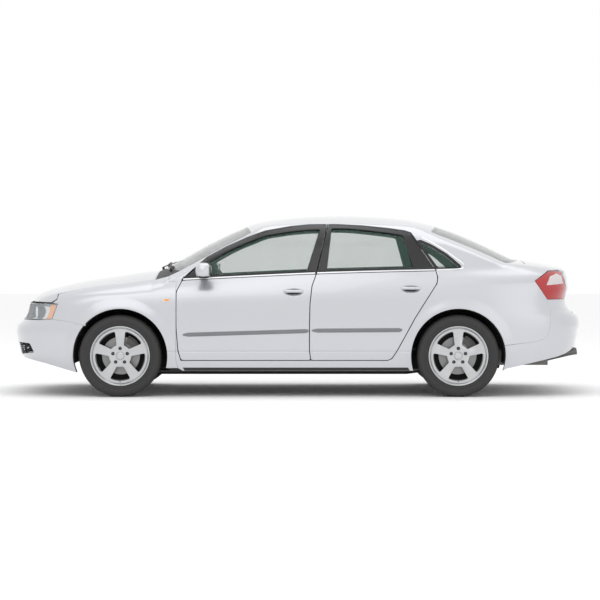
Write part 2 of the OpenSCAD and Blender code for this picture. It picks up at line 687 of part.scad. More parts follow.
// ---------- Running gear ----------
kingpin_y = track / 2 - 45;
spindle_r = 16;
module engine_block() {
  color(metal) block([at_x(-1960), -330, at_z(250) + seat_gap], [at_x(-1480), 330, at_z(800)]);
}
module front_subframe() {
  color(dark) {
    block([front_axle - 180, -455, at_z(210)], [front_axle + 180, 455, at_z(250)]);
    both_sides() {
      // Lower arm with the ball pin that carries the knuckle
      block([front_axle - 30, 390, hub_z - 115], [front_axle + 30, kingpin_y - 24, hub_z - 90]);
      translate([front_axle, kingpin_y, hub_z - 115]) cylinder(h = 25, r = 24);
      block([front_axle - 30, kingpin_y - 40, hub_z - 115], [front_axle + 30, kingpin_y - 10, hub_z - 90]);
      translate([front_axle, kingpin_y, hub_z - 91]) cylinder(h = 31, r = 10);
      block([front_axle - 30, 385, at_z(210)], [front_axle + 30, 396, hub_z - 90]);
      block([front_axle - 60, 405, at_z(240)], [front_axle + 60, 455, at_z(420) - seat_gap]);
    }
  }
}
module knuckle() {
  color(metal) {
    // Upright on the ball pin, leg to the hub and spindle
    difference() {
      union() {
        translate([front_axle, kingpin_y, hub_z - 89.7]) cylinder(h = 200, r = 26);
        block([front_axle - 26, kingpin_y - 40, hub_z - 40], [front_axle + 26, kingpin_y, hub_z + 40]);
      }
      translate([front_axle, kingpin_y, hub_z - 90]) cylinder(h = 34, r = 10.05);
    }
    translate([front_axle, kingpin_y - 20, hub_z]) rotate([-90, 0, 0]) cylinder(h = 75, r = spindle_r);
  }
}
module knuckle_right() { knuckle(); }
module knuckle_left() { mirrored() knuckle(); }
module rear_subframe() {
  color(dark) {
    translate([rear_axle, 0, hub_z]) rotate([90, 0, 0]) cylinder(h = 2 * kingpin_y, r = 30, center = true);
    both_sides() {
      translate([rear_axle, kingpin_y - 1, hub_z]) rotate([-90, 0, 0]) cylinder(h = 56, r = spindle_r);
      block([rear_axle - 360, 480, hub_z - 60], [rear_axle + 40, 520, boot_floor[0] - seat_gap]);
    }
  }
}
// Alloy wheel with its hub and brake disc, about the Y axis at the wheel's middle
spoke_w = 84;
module alloy_wheel() {
  color("silver") {
    rotate([-90, 0, 0]) difference() {
      union() {
        rotate_extrude() polygon([[rim_d / 2 - 22, -100], [rim_d / 2, -100], [rim_d / 2, -94],
          [rim_d / 2 - 14, -80], [rim_d / 2 - 14, 80], [rim_d / 2, 94], [rim_d / 2, 100],
          [rim_d / 2 - 40, 90], [rim_d / 2 - 40, 72], [rim_d / 2 - 22, 60]]);
        translate([0, 0, -15]) cylinder(h = 80, r = 82);
        for (i = [0:4]) rotate([0, 0, 90 + 72 * i]) translate([60, -spoke_w / 2, 55])
          cube([rim_d / 2 - 95, spoke_w, 28]);
      }
      for (i = [0:4]) rotate([0, 0, 90 + 72 * i]) translate([bolt_circle / 2, 0, 45]) cylinder(h = 40, r = 12);
      translate([0, 0, -16]) cylinder(h = 30, r = spindle_r + 0.05);
    }
  }
  color(metal) rotate([-90, 0, 0]) difference() {
    translate([0, 0, -14]) cylinder(h = 14, r = disc_d / 2);
    translate([0, 0, -15]) cylinder(h = 16, r = 70);
  }
}
module alloy_at(x) {
  translate([x, track / 2, hub_z]) alloy_wheel();
}
module front_wheel_right() { alloy_at(front_axle); }
module front_wheel_left() { mirrored() alloy_at(front_axle); }
module rear_wheel_right() { alloy_at(rear_axle); }
module rear_wheel_left() { mirrored() alloy_at(rear_axle); }
module tyre_at(x) {
  w = tyre_w / 2;
  wall_h = hub_z - rim_d / 2;
  color([0.12, 0.12, 0.12]) translate([x, track / 2, hub_z]) rotate([90, 0, 0]) rotate_extrude()
    polygon([[rim_d / 2 + 0.3, -93], [rim_d / 2 + 4, -100], [rim_d / 2 + 0.35 * wall_h, -w],
      [hub_z - 0.25 * wall_h, -w + 4], [hub_z - 0.07 * wall_h, -w + 14], [hub_z, -w + 32],
      [hub_z, w - 32], [hub_z - 0.07 * wall_h, w - 14], [hub_z - 0.25 * wall_h, w - 4],
      [rim_d / 2 + 0.35 * wall_h, w], [rim_d / 2 + 4, 100], [rim_d / 2 + 0.3, 93]]);
}
module front_tyre_right() { tyre_at(front_axle); }
module front_tyre_left() { mirrored() tyre_at(front_axle); }
module rear_tyre_right() { tyre_at(rear_axle); }
module rear_tyre_left() { mirrored() tyre_at(rear_axle); }

// ---------- Underneath ----------
pipe_r = 26;
pipe_z = at_z(floor_low) - pipe_r - seat_gap;
module exhaust() {
  color(metal) mirrored() {
    rod([at_x(-1400), 120, pipe_z], [at_x(900), 120, pipe_z], pipe_r);
    rod([at_x(890), 120, pipe_z], [at_x(1650), 330, hub_z - 50], pipe_r);
    block([at_x(1600), 180, at_z(235)], [at_x(1995), 555, boot_floor[0] - seat_gap]);
    for (y = [485, 535]) rod(at([1990, y - 20, 290]), at([2215, y, 345]), 24);
  }
}
module fuel_tank() {
  color(dark) mirrored() block([rear_axle - 520, -430, at_z(160)], [rear_axle - 130, 60, at_z(floor_low) - seat_gap]);
}
// Wipers: pivots on the cowl and blades at rest on the windscreen
function on_top(x, y, lift) = at([x, y, top_z(x, y)]) + [0, 0, lift];
wiper_lift = 4.4;
module wipers() {
  color(black) for (y = [-560, 20]) {
    pivot = on_top(-1105 + 150 * pow(y / 700, 2), y, wiper_lift);
    arm_end = on_top(-1050 + 150 * pow((y + 480) / 700, 2), y + 480, 22);
    translate(pivot) cylinder(h = 32, r = 8);
    rod(pivot + [0, 0, 26], arm_end, 5);
  }
}
module door_mirror() {
  color(paint) {
    panel() difference() {
      block([at_x(-790), 730, at_z(940)], [at_x(-730), at_y(900), at_z(972)]);
      wall(outward(side_grid, seat_gap), inward(side_grid, 300, 2000));
    }
    difference() {
      block([at_x(-795), at_y(880), at_z(925)], [at_x(-650), at_y(1010), at_z(1055)]);
      block([at_x(-662), at_y(892), at_z(937)], [at_x(-600), at_y(998), at_z(1043)]);
    }
  }
}
module mirror_right() { door_mirror(); }
module mirror_left() { mirrored() door_mirror(); }

floor_pan();
bulkheads();
body_side_left();
body_side_right();
roof_panel();
fenders();
front_bumper();
rear_bumper();
grilles();
headlamps();
tail_lamps();
windscreen();
rear_window();
quarter_windows();
rear_deck();
cowl_panel();
wheel_liners();
dashboard();
steering_wheel();
front_seats();
rear_seat();
engine_block();
front_subframe();
rear_subframe();
exhaust();
fuel_tank();
wipers();
door_seals();
front_door_left();
front_door_right();
front_glass_left();
front_glass_right();
mirror_left();
mirror_right();
rear_door_left();
rear_door_right();
rear_glass_left();
rear_glass_right();
bonnet();
boot_lid();
knuckle_left();
knuckle_right();
front_wheel_left();
front_wheel_right();
rear_wheel_left();
rear_wheel_right();
front_tyre_left();
front_tyre_right();
rear_tyre_left();
rear_tyre_right();
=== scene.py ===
"""Four-door sedan car: painted shell, glass, lamps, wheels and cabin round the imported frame."""
import math
import bpy
import bmesh
import numpy as np
from mathutils import Matrix, Vector
from mathutils.geometry import delaunay_2d_cdt


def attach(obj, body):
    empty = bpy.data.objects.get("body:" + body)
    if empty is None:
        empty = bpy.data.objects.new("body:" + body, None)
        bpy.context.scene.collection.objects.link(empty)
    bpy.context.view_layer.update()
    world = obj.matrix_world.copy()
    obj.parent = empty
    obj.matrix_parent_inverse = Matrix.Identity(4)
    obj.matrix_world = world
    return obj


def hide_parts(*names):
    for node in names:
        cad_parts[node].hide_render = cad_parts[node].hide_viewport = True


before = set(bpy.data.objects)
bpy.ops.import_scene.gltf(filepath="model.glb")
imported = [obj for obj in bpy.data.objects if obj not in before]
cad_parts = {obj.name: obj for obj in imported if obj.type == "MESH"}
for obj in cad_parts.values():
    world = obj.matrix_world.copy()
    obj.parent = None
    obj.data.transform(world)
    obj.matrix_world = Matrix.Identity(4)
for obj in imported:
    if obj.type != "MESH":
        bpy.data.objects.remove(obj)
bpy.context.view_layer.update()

# ---------------------------------------------------------------- shader tools


class Sock:
    """A shader socket that takes part in arithmetic; numbers alone stay numbers."""

    def __init__(self, mat, socket):
        self.mat, self.socket = mat, socket

    def _math(self, operation, a, b):
        return self.mat.node("ShaderNodeMath", {"operation": operation}, {0: a, 1: b})

    def __add__(self, other):
        return self._math("ADD", self, other)

    __radd__ = __add__

    def __sub__(self, other):
        return self._math("SUBTRACT", self, other)

    def __rsub__(self, other):
        return self._math("SUBTRACT", other, self)

    def __mul__(self, other):
        return self._math("MULTIPLY", self, other)

    __rmul__ = __mul__

    def over(self, other):
        return self._math("GREATER_THAN", self, other)

    def sine(self):
        return self._math("SINE", self, 0.0)

    def power(self, other):
        return self._math("POWER", self, other)


class Mat:
    """A procedural material with one Principled shader."""

    def __init__(self, name, **fixed):
        self.material = bpy.data.materials.new(name)
        self.material.use_nodes = True
        self.tree = self.material.node_tree
        self.shader = self.tree.nodes["Principled BSDF"]
        for key, value in fixed.items():
            self.shader.inputs[key.replace("_", " ")].default_value = value
        self.coords = self.node("ShaderNodeTexCoord", {}, {}, "Object")

    def node(self, kind, settings, inputs, output=0):
        made = self.tree.nodes.new(kind)
        for key, value in settings.items():
            if key == "ramp":
                made.color_ramp.elements[0].position, made.color_ramp.elements[0].color = value[0]
                made.color_ramp.elements[1].position, made.color_ramp.elements[1].color = value[-1]
                for stop, colour in value[1:-1]:
                    made.color_ramp.elements.new(stop).color = colour
            else:
                setattr(made, key, value)
        for key, value in inputs.items():
            if isinstance(value, Sock):
                self.tree.links.new(value.socket, made.inputs[key])
            else:
                made.inputs[key].default_value = value
        return Sock(self, made.outputs[output])

    def noise(self, scale, detail=3.0, stretch=(1, 1, 1)):
        place = self.node("ShaderNodeMapping", {}, {"Vector": self.coords, "Scale": stretch})
        return self.node("ShaderNodeTexNoise", {}, {"Vector": place, "Scale": scale, "Detail": detail}, "Fac")

    def cells(self, scale):
        return self.node("ShaderNodeTexVoronoi", {}, {"Vector": self.coords, "Scale": scale}, "Distance")

    def axis(self, name):
        return self.node("ShaderNodeSeparateXYZ", {}, {"Vector": self.coords}, name)

    def blend(self, factor, low, high):
        return self.node("ShaderNodeMix", {"data_type": "RGBA"}, {0: factor, 6: low, 7: high}, 2)

    def feed(self, **links):
        for key, value in links.items():
            self.tree.links.new(value.socket, self.shader.inputs[key.replace("_", " ")])

    def bump(self, height, strength, distance):
        normal = self.node("ShaderNodeBump", {},
                           {"Height": height, "Strength": strength, "Distance": distance})
        self.feed(Normal=normal)


def rgba(r, g, b):
    return (r, g, b, 1.0)


def worn(name, low, high, scale, rough, grain, depth, **fixed):
    """Plain finish: two close colours over the surface, uneven gloss and a fine grain."""
    mat = Mat(name, **fixed)
    cloud = mat.noise(scale)
    mat.feed(Base_Color=mat.blend(cloud, rgba(*low), rgba(*high)), Roughness=cloud * 0.16 + rough)
    mat.bump(mat.noise(grain, 2.0), 0.35, depth)
    return mat.material


def paint_finish():
    mat = Mat("pearl_silver_paint", Metallic=0.55, Coat_Weight=1.0, Coat_Roughness=0.03)
    flake = mat.cells(1400.0)
    cloud = mat.noise(0.8)
    mat.feed(
        Base_Color=mat.blend(flake, rgba(0.60, 0.61, 0.64), rgba(0.50, 0.51, 0.54)),
        Roughness=cloud * 0.06 + 0.27,
    )
    mat.bump(flake, 0.05, 0.0002)
    return mat.material


def glass_finish(name, colour, alpha):
    mat = Mat(name, Roughness=0.02, Coat_Weight=1.0, Coat_Roughness=0.01, IOR=1.5)
    cloud = mat.noise(1.3)
    mat.feed(Base_Color=mat.blend(cloud, rgba(*colour), rgba(*[c * 0.85 for c in colour])),
             Alpha=cloud * 0.06 + alpha)
    return mat.material


def cloth_finish(name, colour):
    mat = Mat(name, Roughness=0.9, Sheen_Weight=0.3)
    ribs = (mat.axis("Y") * 2600.0).sine() * 0.5 + (mat.axis("Z") * 2600.0 + mat.axis("X") * 2600.0).sine() * 0.5
    cloud = mat.noise(30.0)
    light = [c * 1.5 for c in colour]
    mat.feed(Base_Color=mat.blend(cloud, rgba(*colour), rgba(*light)))
    mat.bump(ribs, 0.5, 0.0006)
    return mat.material


def tyre_finish():
    mat = Mat("tyre_rubber", Roughness=0.72)
    cloud = mat.noise(9.0)
    mat.feed(Base_Color=mat.blend(cloud, rgba(0.020, 0.020, 0.021), rgba(0.036, 0.035, 0.034)),
             Roughness=cloud * 0.2 + 0.62)
    mat.bump(mat.noise(420.0, 2.0), 0.4, 0.0006)
    return mat.material


PAINT = paint_finish()
GLASS = glass_finish("tinted_window_glass", (0.09, 0.20, 0.155), 0.14)
LENS = glass_finish("clear_lamp_lens", (0.80, 0.85, 0.88), 0.16)
AMBER = glass_finish("amber_lens", (0.95, 0.33, 0.01), 0.96)
RED = glass_finish("red_lens", (0.42, 0.004, 0.006), 0.97)
FROST = glass_finish("white_lens", (0.80, 0.78, 0.78), 0.75)
BLACK = worn("matt_black_plastic", (0.012, 0.012, 0.013), (0.022, 0.022, 0.024), 14.0, 0.45, 900.0, 0.0004)
GLOSSY = worn("gloss_black_trim", (0.008, 0.008, 0.009), (0.014, 0.014, 0.015), 6.0, 0.12, 500.0, 0.0001)
STRIP = worn("grey_rub_strip", (0.16, 0.165, 0.175), (0.20, 0.205, 0.215), 7.0, 0.36, 800.0, 0.0003)
TRIM = worn("soft_touch_trim", (0.035, 0.035, 0.036), (0.055, 0.055, 0.056), 11.0, 0.6, 700.0, 0.0006)
CHROME = worn("bright_chrome", (0.80, 0.81, 0.83), (0.88, 0.88, 0.90), 4.0, 0.06, 300.0, 0.00005,
              Metallic=1.0)
ALLOY = worn("silver_alloy_lacquer", (0.47, 0.48, 0.49), (0.56, 0.57, 0.58), 5.0, 0.22, 1200.0, 0.0001,
             Metallic=0.75, Coat_Weight=0.6, Coat_Roughness=0.06)
IRON = worn("brake_disc_iron", (0.22, 0.22, 0.225), (0.34, 0.335, 0.33), 20.0, 0.30, 160.0, 0.0004,
            Metallic=0.9)
CAST = worn("cast_metal", (0.12, 0.12, 0.12), (0.20, 0.195, 0.19), 18.0, 0.50, 260.0, 0.0012, Metallic=0.6)
SEALER = worn("underbody_sealer", (0.022, 0.022, 0.023), (0.05, 0.048, 0.045), 6.0, 0.62, 180.0, 0.0016)
STEEL = worn("exhaust_steel", (0.10, 0.098, 0.095), (0.19, 0.185, 0.18), 12.0, 0.28, 240.0, 0.0004,
             Metallic=1.0)
LINER = worn("wheel_liner_felt", (0.008, 0.008, 0.008), (0.018, 0.018, 0.018), 20.0, 0.85, 500.0, 0.0010)
SEAL = worn("door_seal_rubber", (0.012, 0.012, 0.012), (0.02, 0.02, 0.02), 16.0, 0.7, 600.0, 0.0005)
PLATE = worn("blank_plate", (0.78, 0.78, 0.76), (0.84, 0.84, 0.82), 5.0, 0.35, 400.0, 0.0001)
MIRROR = worn("mirror_glass", (0.75, 0.77, 0.79), (0.80, 0.82, 0.84), 3.0, 0.02, 200.0, 0.00002, Metallic=1.0)
CLOTH = cloth_finish("dark_seat_cloth", (0.030, 0.031, 0.032))
TYRE = tyre_finish()

# ---------------------------------------------------------------- lines of the body, in millimetres
CLAD = 24  # depth of bumper covers and fenders
LID_DEPTH = 20  # depth of bonnet, boot lid and rear deck
PANE_SET = 12  # how far side glass sits behind the painted surface
FRONT_AXLE, REAR_AXLE, HUB, ARCH = -1389.5, 1260.5, 321.5, 370.5
SIDE_LINE = [
    (190, 826), (240, 838), (300, 848), (352, 856), (450, 864), (600, 869), (700, 867), (780, 860),
    (850, 846), (905, 829), (965, 803), (1100, 741), (1200, 690), (1335, 598), (1420, 520)]
BELT_LINE = [(-896, 916), (148, 965), (1316, 996)]
BONNET_LINE = [
    (-2196, 695), (-2131, 779), (-2065, 817), (-1933, 856), (-1736, 901), (-1472, 940), (-1209, 978),
    (-1100, 985)]
BONNET_CROWN = [(-2182, 10), (-1800, 35), (-1400, 55), (-1000, 70)]
DECK_LINE = [(1650, 1083), (1752, 1077), (1884, 1062), (2015, 1040), (2110, 1020), (2147, 1012)]
ROOF_LINE = [
    (-1300, 880), (-1100, 992), (-946, 1077), (-683, 1222), (-485, 1314), (-354, 1367), (-156, 1402),
    (239, 1428), (633, 1421), (962, 1388), (1226, 1314), (1489, 1205), (1752, 1077), (1900, 1005)]
ROOF_CROWN = [(-900, 10), (-450, 40), (0, 75), (800, 75), (1150, 50), (1600, 15)]
NOSE_LINE = [
    (245, -2180), (305, -2230), (385, -2252), (450, -2268), (486, -2273), (522, -2273), (559, -2258),
    (601, -2212), (739, -2160)]
TAIL_LINE = [(389, 2243), (490, 2260), (573, 2273), (632, 2254), (677, 2193), (876, 2182), (987, 2154),
             (1018, 2125)]
EDGE_LINE = [
    (-1150, 90), (-1020, 30), (-450, 30), (-350, 70), (1050, 70), (1150, 35), (1650, 35), (1750, 60)]


def smooth(a, b, v):
    u = np.clip((v - a) / (b - a), 0, 1)
    return u * u * (3 - 2 * u)


def curve(points, x):
    """Smooth curve through the points, straight beyond its ends."""
    p = np.array(points, float)
    x = np.asarray(x, float)
    h = np.diff(p[:, 0])
    chord = np.diff(p[:, 1]) / h
    slope = np.concatenate([[chord[0]], (chord[:-1] * h[1:] + chord[1:] * h[:-1]) / (h[:-1] + h[1:]),
                            [chord[-1]]])
    i = np.clip(np.searchsorted(p[:, 0], x, side="right") - 1, 0, len(h) - 1)
    u = np.clip((x - p[i, 0]) / h[i], 0, 1)
    a, b, d = slope[i] * h[i], slope[i + 1] * h[i], p[i + 1, 1] - p[i, 1]
    inside = p[i, 1] + a * u + (3 * d - 2 * a - b) * u ** 2 + (a + b - 2 * d) * u ** 3
    return inside + np.minimum(x - p[0, 0], 0) * chord[0] + np.maximum(x - p[-1, 0], 0) * chord[-1]


def plan(x, z):
    front = np.clip((-900 - x) / (-900 - curve(NOSE_LINE, z)), 0, 1)
    back = np.clip((x - 900) / (curve(TAIL_LINE, z) - 900), 0, 1)
    return np.where(x < 0, (1 - front ** 5) ** 0.26, (1 - back ** 6) ** 0.2455)


def half_width(x, z):
    h = z - (curve(BELT_LINE, x) - 965) * np.clip((z - 350) / 615, 0, 1)
    taper = 1 - 0.05 * smooth(850, 1000, h) * ((x - 100) / 1400) ** 2
    d = np.minimum(np.hypot(x - FRONT_AXLE, z - HUB), np.hypot(x - REAR_AXLE, z - HUB))
    flare = 14 * (1 - smooth(370, 460, d)) * smooth(230, 420, z)
    return (curve(SIDE_LINE, h) * taper + flare) * plan(x, z)


def top_z(x, y):
    bonnet = curve(BONNET_LINE, x - 150 * (y / 750) ** 2) - curve(BONNET_CROWN, x) * (y / 750) ** 2
    deck = curve(DECK_LINE, x + 60 * (y / 700) ** 2) - 45 * (y / 750) ** 2
    bow = 165 * (1 - smooth(-450, -200, x)) - 160 * smooth(900, 1150, x)
    cabin = curve(ROOF_LINE, x - bow * (y / 700) ** 2) - curve(ROOF_CROWN, x) * (y / 600) ** 2
    return np.maximum(np.where(x < 0, bonnet, deck), cabin)


# Corner between side and top at each station, found by halving
STATIONS = np.arange(-2200, 2200, 4.0)
_low, _high = np.full(STATIONS.shape, 600.0), np.full(STATIONS.shape, 1430.0)
for _ in range(24):
    _mid = (_low + _high) / 2
    _above = top_z(STATIONS, half_width(STATIONS, _mid)) > _mid
    _low, _high = np.where(_above, _mid, _low), np.where(_above, _high, _mid)
CORNER_Z = (_low + _high) / 2
SILL_Z = 196.0


def dense(points, step, closed=True):
    """Polyline with points no further apart than step."""
    out = []
    count = len(points)
    for i in range(count if closed else count - 1):
        a, b = np.array(points[i], float), np.array(points[(i + 1) % count], float)
        n = max(1, int(math.ceil(np.linalg.norm(b - a) / step)))
        out += [a + (b - a) * k / n for k in range(n)]
    if not closed:
        out.append(np.array(points[-1], float))
    return [tuple(p) for p in out]


def rounded(points, radius, step=4):
    """Outline with its corners rounded."""
    out, count = [], len(points)
    for i in range(count):
        p, c, n = (np.array(points[(i + k) % count], float) for k in (-1, 0, 1))
        back, ahead = p - c, n - c
        r = min(radius, np.linalg.norm(back) * 0.45, np.linalg.norm(ahead) * 0.45)
        a, b = c + back / np.linalg.norm(back) * r, c + ahead / np.linalg.norm(ahead) * r
        for k in range(step + 1):
            t = k / step
            out.append((1 - t) ** 2 * a + 2 * t * (1 - t) * c + t * t * b)
    return [tuple(p) for p in out]


def offset_outline(points, d):
    """Outline moved outwards by d."""
    p = np.array(points, float)
    area = 0.5 * np.sum(p[:, 0] * np.roll(p[:, 1], -1) - np.roll(p[:, 0], -1) * p[:, 1])
    sign = 1 if area > 0 else -1
    out = []
    for i in range(len(p)):
        a, c, b = p[i - 1], p[i], p[(i + 1) % len(p)]
        u, v = c - a, b - c
        u, v = u / np.linalg.norm(u), v / np.linalg.norm(v)
        nu, nv = sign * np.array([u[1], -u[0]]), sign * np.array([v[1], -v[0]])
        m = nu + nv
        m = m / max(np.dot(m, nu), 0.4)
        out.append(c + m * d)
    return [tuple(p) for p in out]


def inside(points, outline):
    """Which points lie inside an outline."""
    x, y = points[:, 0], points[:, 1]
    o = np.array(outline, float)
    hit = np.zeros(len(points), bool)
    for a, b in zip(o, np.roll(o, -1, axis=0)):
        cross = (a[1] > y) != (b[1] > y)
        with np.errstate(divide="ignore", invalid="ignore"):
            hit ^= cross & (x < (b[0] - a[0]) * (y - a[1]) / (b[1] - a[1]) + a[0])
    return hit


def distance_to(points, outline, reach):
    """Distance of each point to an outline, measured where it is within reach."""
    o = np.array(outline, float)
    best = np.full(len(points), 1e9)
    for a, b in zip(o, np.roll(o, -1, axis=0)):
        near = np.nonzero(np.all((points > np.minimum(a, b) - reach) & (points < np.maximum(a, b) + reach),
                                 axis=1))[0]
        if len(near):
            d, q = b - a, points[near]
            t = np.clip(((q - a) @ d) / max(d @ d, 1e-9), 0, 1)
            best[near] = np.minimum(best[near], np.linalg.norm(q - a - t[:, None] * d, axis=1))
    return best


def fill(outer, holes, grid_u, grid_v, step):
    """Triangles over the region between outlines in a flat domain."""
    loops = [outer] + holes
    u, v = np.meshgrid(grid_u, grid_v)
    pts = np.stack([u.ravel(), v.ravel()], -1)
    pts = pts[inside(pts, outer)]
    for hole in holes:
        pts = pts[~inside(pts, hole)]
    for loop in loops:
        pts = pts[distance_to(pts, loop, step) > step * 0.35]
    coords, edges = [], []
    for loop in loops:
        first = len(coords)
        coords += [tuple(map(float, p)) for p in loop]
        edges += [(first + i, first + (i + 1) % len(loop)) for i in range(len(loop))]
    coords += [tuple(p) for p in pts]
    verts, _, faces, _, _, _ = delaunay_2d_cdt([Vector(c) for c in coords], edges, [], 0, 1e-4)
    verts = np.array([tuple(v) for v in verts])
    faces = np.array([f for f in faces if len(f) == 3])
    middle = verts[faces].mean(axis=1)
    good = inside(middle, outer)
    for hole in holes:
        good &= ~inside(middle, hole)
    return verts, faces[good]


# ---------------------------------------------------------------- surfaces
class Surface:
    """Maps a flat domain, in millimetres, to points in space with outward normals."""

    def __init__(self, place, turned=False):
        self.place, self.turned = place, turned

    def points(self, uv):
        return self.place(uv[:, 0], uv[:, 1])

    def normals(self, uv):
        e = 0.5
        du = self.points(uv + [e, 0]) - self.points(uv - [e, 0])
        dv = self.points(uv + [0, e]) - self.points(uv - [0, e])
        n = np.cross(du, dv) * (-1 if self.turned else 1)
        return n / np.maximum(np.linalg.norm(n, axis=1), 1e-9)[:, None]


def crease(x, z):
    """Fine groove low on the doors and wings."""
    return 3.0 * np.exp(-(((z - 356) / 5.0) ** 2)) * smooth(-1100, -1000, x)


def side_point(x, t, y_end=440.0):
    zc = np.interp(x, STATIONS, CORNER_Z)
    yc = half_width(x, zc)
    r = np.interp(x, *np.array(EDGE_LINE, float).T)
    z1 = np.where(t <= 600, t, 600 + (zc - r - 600) * np.clip((t - 600) / 600, 0, 1))
    angle = np.clip((t - 1200) / 100, 0, 1) * math.pi / 2
    dy, dz = r * (1 - np.cos(angle)), r * (1 - np.sin(angle))
    y3 = yc - r + (y_end - yc + r) * np.clip((t - 1300) / 100, 0, 1)
    y = np.where(t <= 1200, half_width(x, z1) - crease(x, z1),
                 np.where(t <= 1300, half_width(x, zc - dz) - dy, y3))
    z = np.where(t <= 1200, z1, np.where(t <= 1300, top_z(x, yc - dy) - dz, top_z(x, y3)))
    return np.stack([x + 0 * y, y, z], -1)


def sunk(surface, depth):
    """The same surface, moved inwards."""
    return Surface(lambda u, v: surface.place(u, v) - depth * surface.normals(np.stack([u, v], -1)),
                   surface.turned)


SIDE = Surface(side_point, True)
TOP = Surface(lambda x, y: np.stack([x, y, top_z(x, y)], -1))
ROW = np.concatenate([np.linspace(190, 600, 60), np.linspace(600, 1400, 200)[1:]])


def by_height(points):
    """Side-view points (x, z) as (x, t) on the side surface."""
    out = []
    for x, z in points:
        if z <= 600:
            out.append((x, z))
        else:
            row = side_point(np.full(ROW.shape, float(x)), ROW)[:, 2]
            out.append((x, float(np.interp(z, row, ROW))))
    return out


def by_width(points):
    """Plan-view points (x, y) as (x, t) on the side surface's top."""
    out = []
    upper = ROW[ROW > 1180]
    for x, y in points:
        row = side_point(np.full(upper.shape, float(x)), upper)[:, 1]
        out.append((x, float(np.interp(-y, -row, upper))))
    return out


def ring_surface(line, sign, power):
    """Nose (sign -1) or tail (sign +1): u runs along the outline seen from above, v is the height."""
    angles = np.linspace(0, 1.50, 700)

    def at(a, z):
        tip = sign * curve(line, z) - 900
        x = sign * (900 + tip * np.cos(a) ** power)
        return np.stack([x, np.sign(a) * half_width(x, z) + 0 * x, z + 0 * x], -1)

    track = at(angles, np.full(angles.shape, 560.0))
    track[0, 1] = 0
    lengths = np.concatenate([[0], np.cumsum(np.linalg.norm(np.diff(track, axis=0), axis=1))])

    def place(u, z):
        a = np.sign(u) * np.interp(np.abs(u), lengths, angles)
        return at(a, z)

    def from_x(points):
        out = []
        for x, z in points:
            tip = sign * curve(line, z) - 900
            share = np.clip((sign * x - 900) / tip, 0, 1)
            out.append((float(np.interp(math.acos(share ** (1 / power)), angles, lengths)), z))
        return out

    def from_y(points):
        out = []
        for y, z in points:
            row = at(angles, np.full(angles.shape, float(z)))[:, 1]
            row[0] = 0
            reach = int(np.argmax(row)) + 1
            out.append((float(np.sign(y) * np.interp(abs(y), row[:reach], lengths[:reach])), z))
        return out

    surface = Surface(place, sign < 0)
    surface.from_x, surface.from_y = from_x, from_y
    return surface


NOSE = ring_surface(NOSE_LINE, -1, 0.4)
TAIL = ring_surface(TAIL_LINE, 1, 1 / 3)


# ---------------------------------------------------------------- meshes
class Build:
    """Vertices, faces, normals and materials gathered into one mesh, in millimetres."""

    def __init__(self):
        self.verts, self.faces, self.norms, self.mats, self.index = [], [], [], [], []
        self.count = 0

    def add(self, points, faces, normals=None, mat=None, flip=False):
        """Adds a patch; without normals, its faces stay flat."""
        if mat not in self.mats:
            self.mats.append(mat)
        points = np.asarray(points, float)
        faces = [tuple(f[::-1]) if flip else tuple(f) for f in faces]
        if normals is None:
            flat_points, flat_faces, flat_normals = [], [], []
            for f in faces:
                q = points[list(f)]
                n = np.cross(q[1] - q[0], q[2] - q[0])
                if len(f) > 3:
                    n = n + np.cross(q[2] - q[0], q[3] - q[0])
                n = n / max(np.linalg.norm(n), 1e-9)
                flat_faces.append(tuple(range(len(flat_points), len(flat_points) + len(f))))
                flat_points += list(q)
                flat_normals += [n] * len(f)
            points, faces, normals = np.array(flat_points), flat_faces, np.array(flat_normals)
        self.faces += [tuple(i + self.count for i in f) for f in faces]
        self.index += [self.mats.index(mat)] * len(faces)
        self.verts.append(points)
        self.norms.append(np.asarray(normals, float))
        self.count += len(points)
        return self

    def mirrored(self):
        """The same pieces on the car's other side, beside these."""
        other = Build()
        other.mats = list(self.mats)
        other.index = list(self.index)
        other.faces = [tuple(reversed(f)) for f in self.faces]
        other.verts = [v * [1, -1, 1] for v in self.verts]
        other.norms = [n * [1, -1, 1] for n in self.norms]
        other.count = self.count
        return other

    def join(self, other, shift=(0, 0, 0), spin=None):
        """Adds a copy of another build, turned by a matrix and moved."""
        turn = np.eye(3) if spin is None else np.array(spin)
        remap = []
        for m in other.mats:
            if m not in self.mats:
                self.mats.append(m)
            remap.append(self.mats.index(m))
        self.faces += [tuple(i + self.count for i in f) for f in other.faces]
        self.index += [remap[i] for i in other.index]
        self.verts += [v @ turn.T + np.array(shift) for v in other.verts]
        self.norms += [n @ turn.T for n in other.norms]
        self.count += other.count
        return self

    def object(self, name, body, replaces=(), slot=None):
        verts = np.concatenate(self.verts) / 1000
        norms = np.concatenate(self.norms)
        mesh = bpy.data.meshes.new(name)
        mesh.from_pydata(verts.tolist(), [], self.faces)
        for m in self.mats:
            mesh.materials.append(m)
        mesh.polygons.foreach_set("material_index", self.index)
        mesh.polygons.foreach_set("use_smooth", [True] * len(self.faces))
        mesh.normals_split_custom_set_from_vertices(norms.tolist())
        made = bpy.data.objects.new(name, mesh)
        bpy.context.scene.collection.objects.link(made)
        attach(made, body)
        if replaces:
            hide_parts(*replaces)
        return made


def both(build, name, bodies, replaces=(), slot=None):
    """Right piece as built and its mirrored twin on the left."""
    right, left = (bodies, bodies) if isinstance(bodies, str) else bodies
    build.object(name + "_right", right, [r + "_right" for r in replaces], slot)
    build.mirrored().object(name + "_left", left, [r + "_left" for r in replaces], slot)


def ccw(loop):
    p = np.array(loop, float)
    area = np.sum(p[:, 0] * np.roll(p[:, 1], -1) - np.roll(p[:, 0], -1) * p[:, 1])
    return loop if area > 0 else loop[::-1]


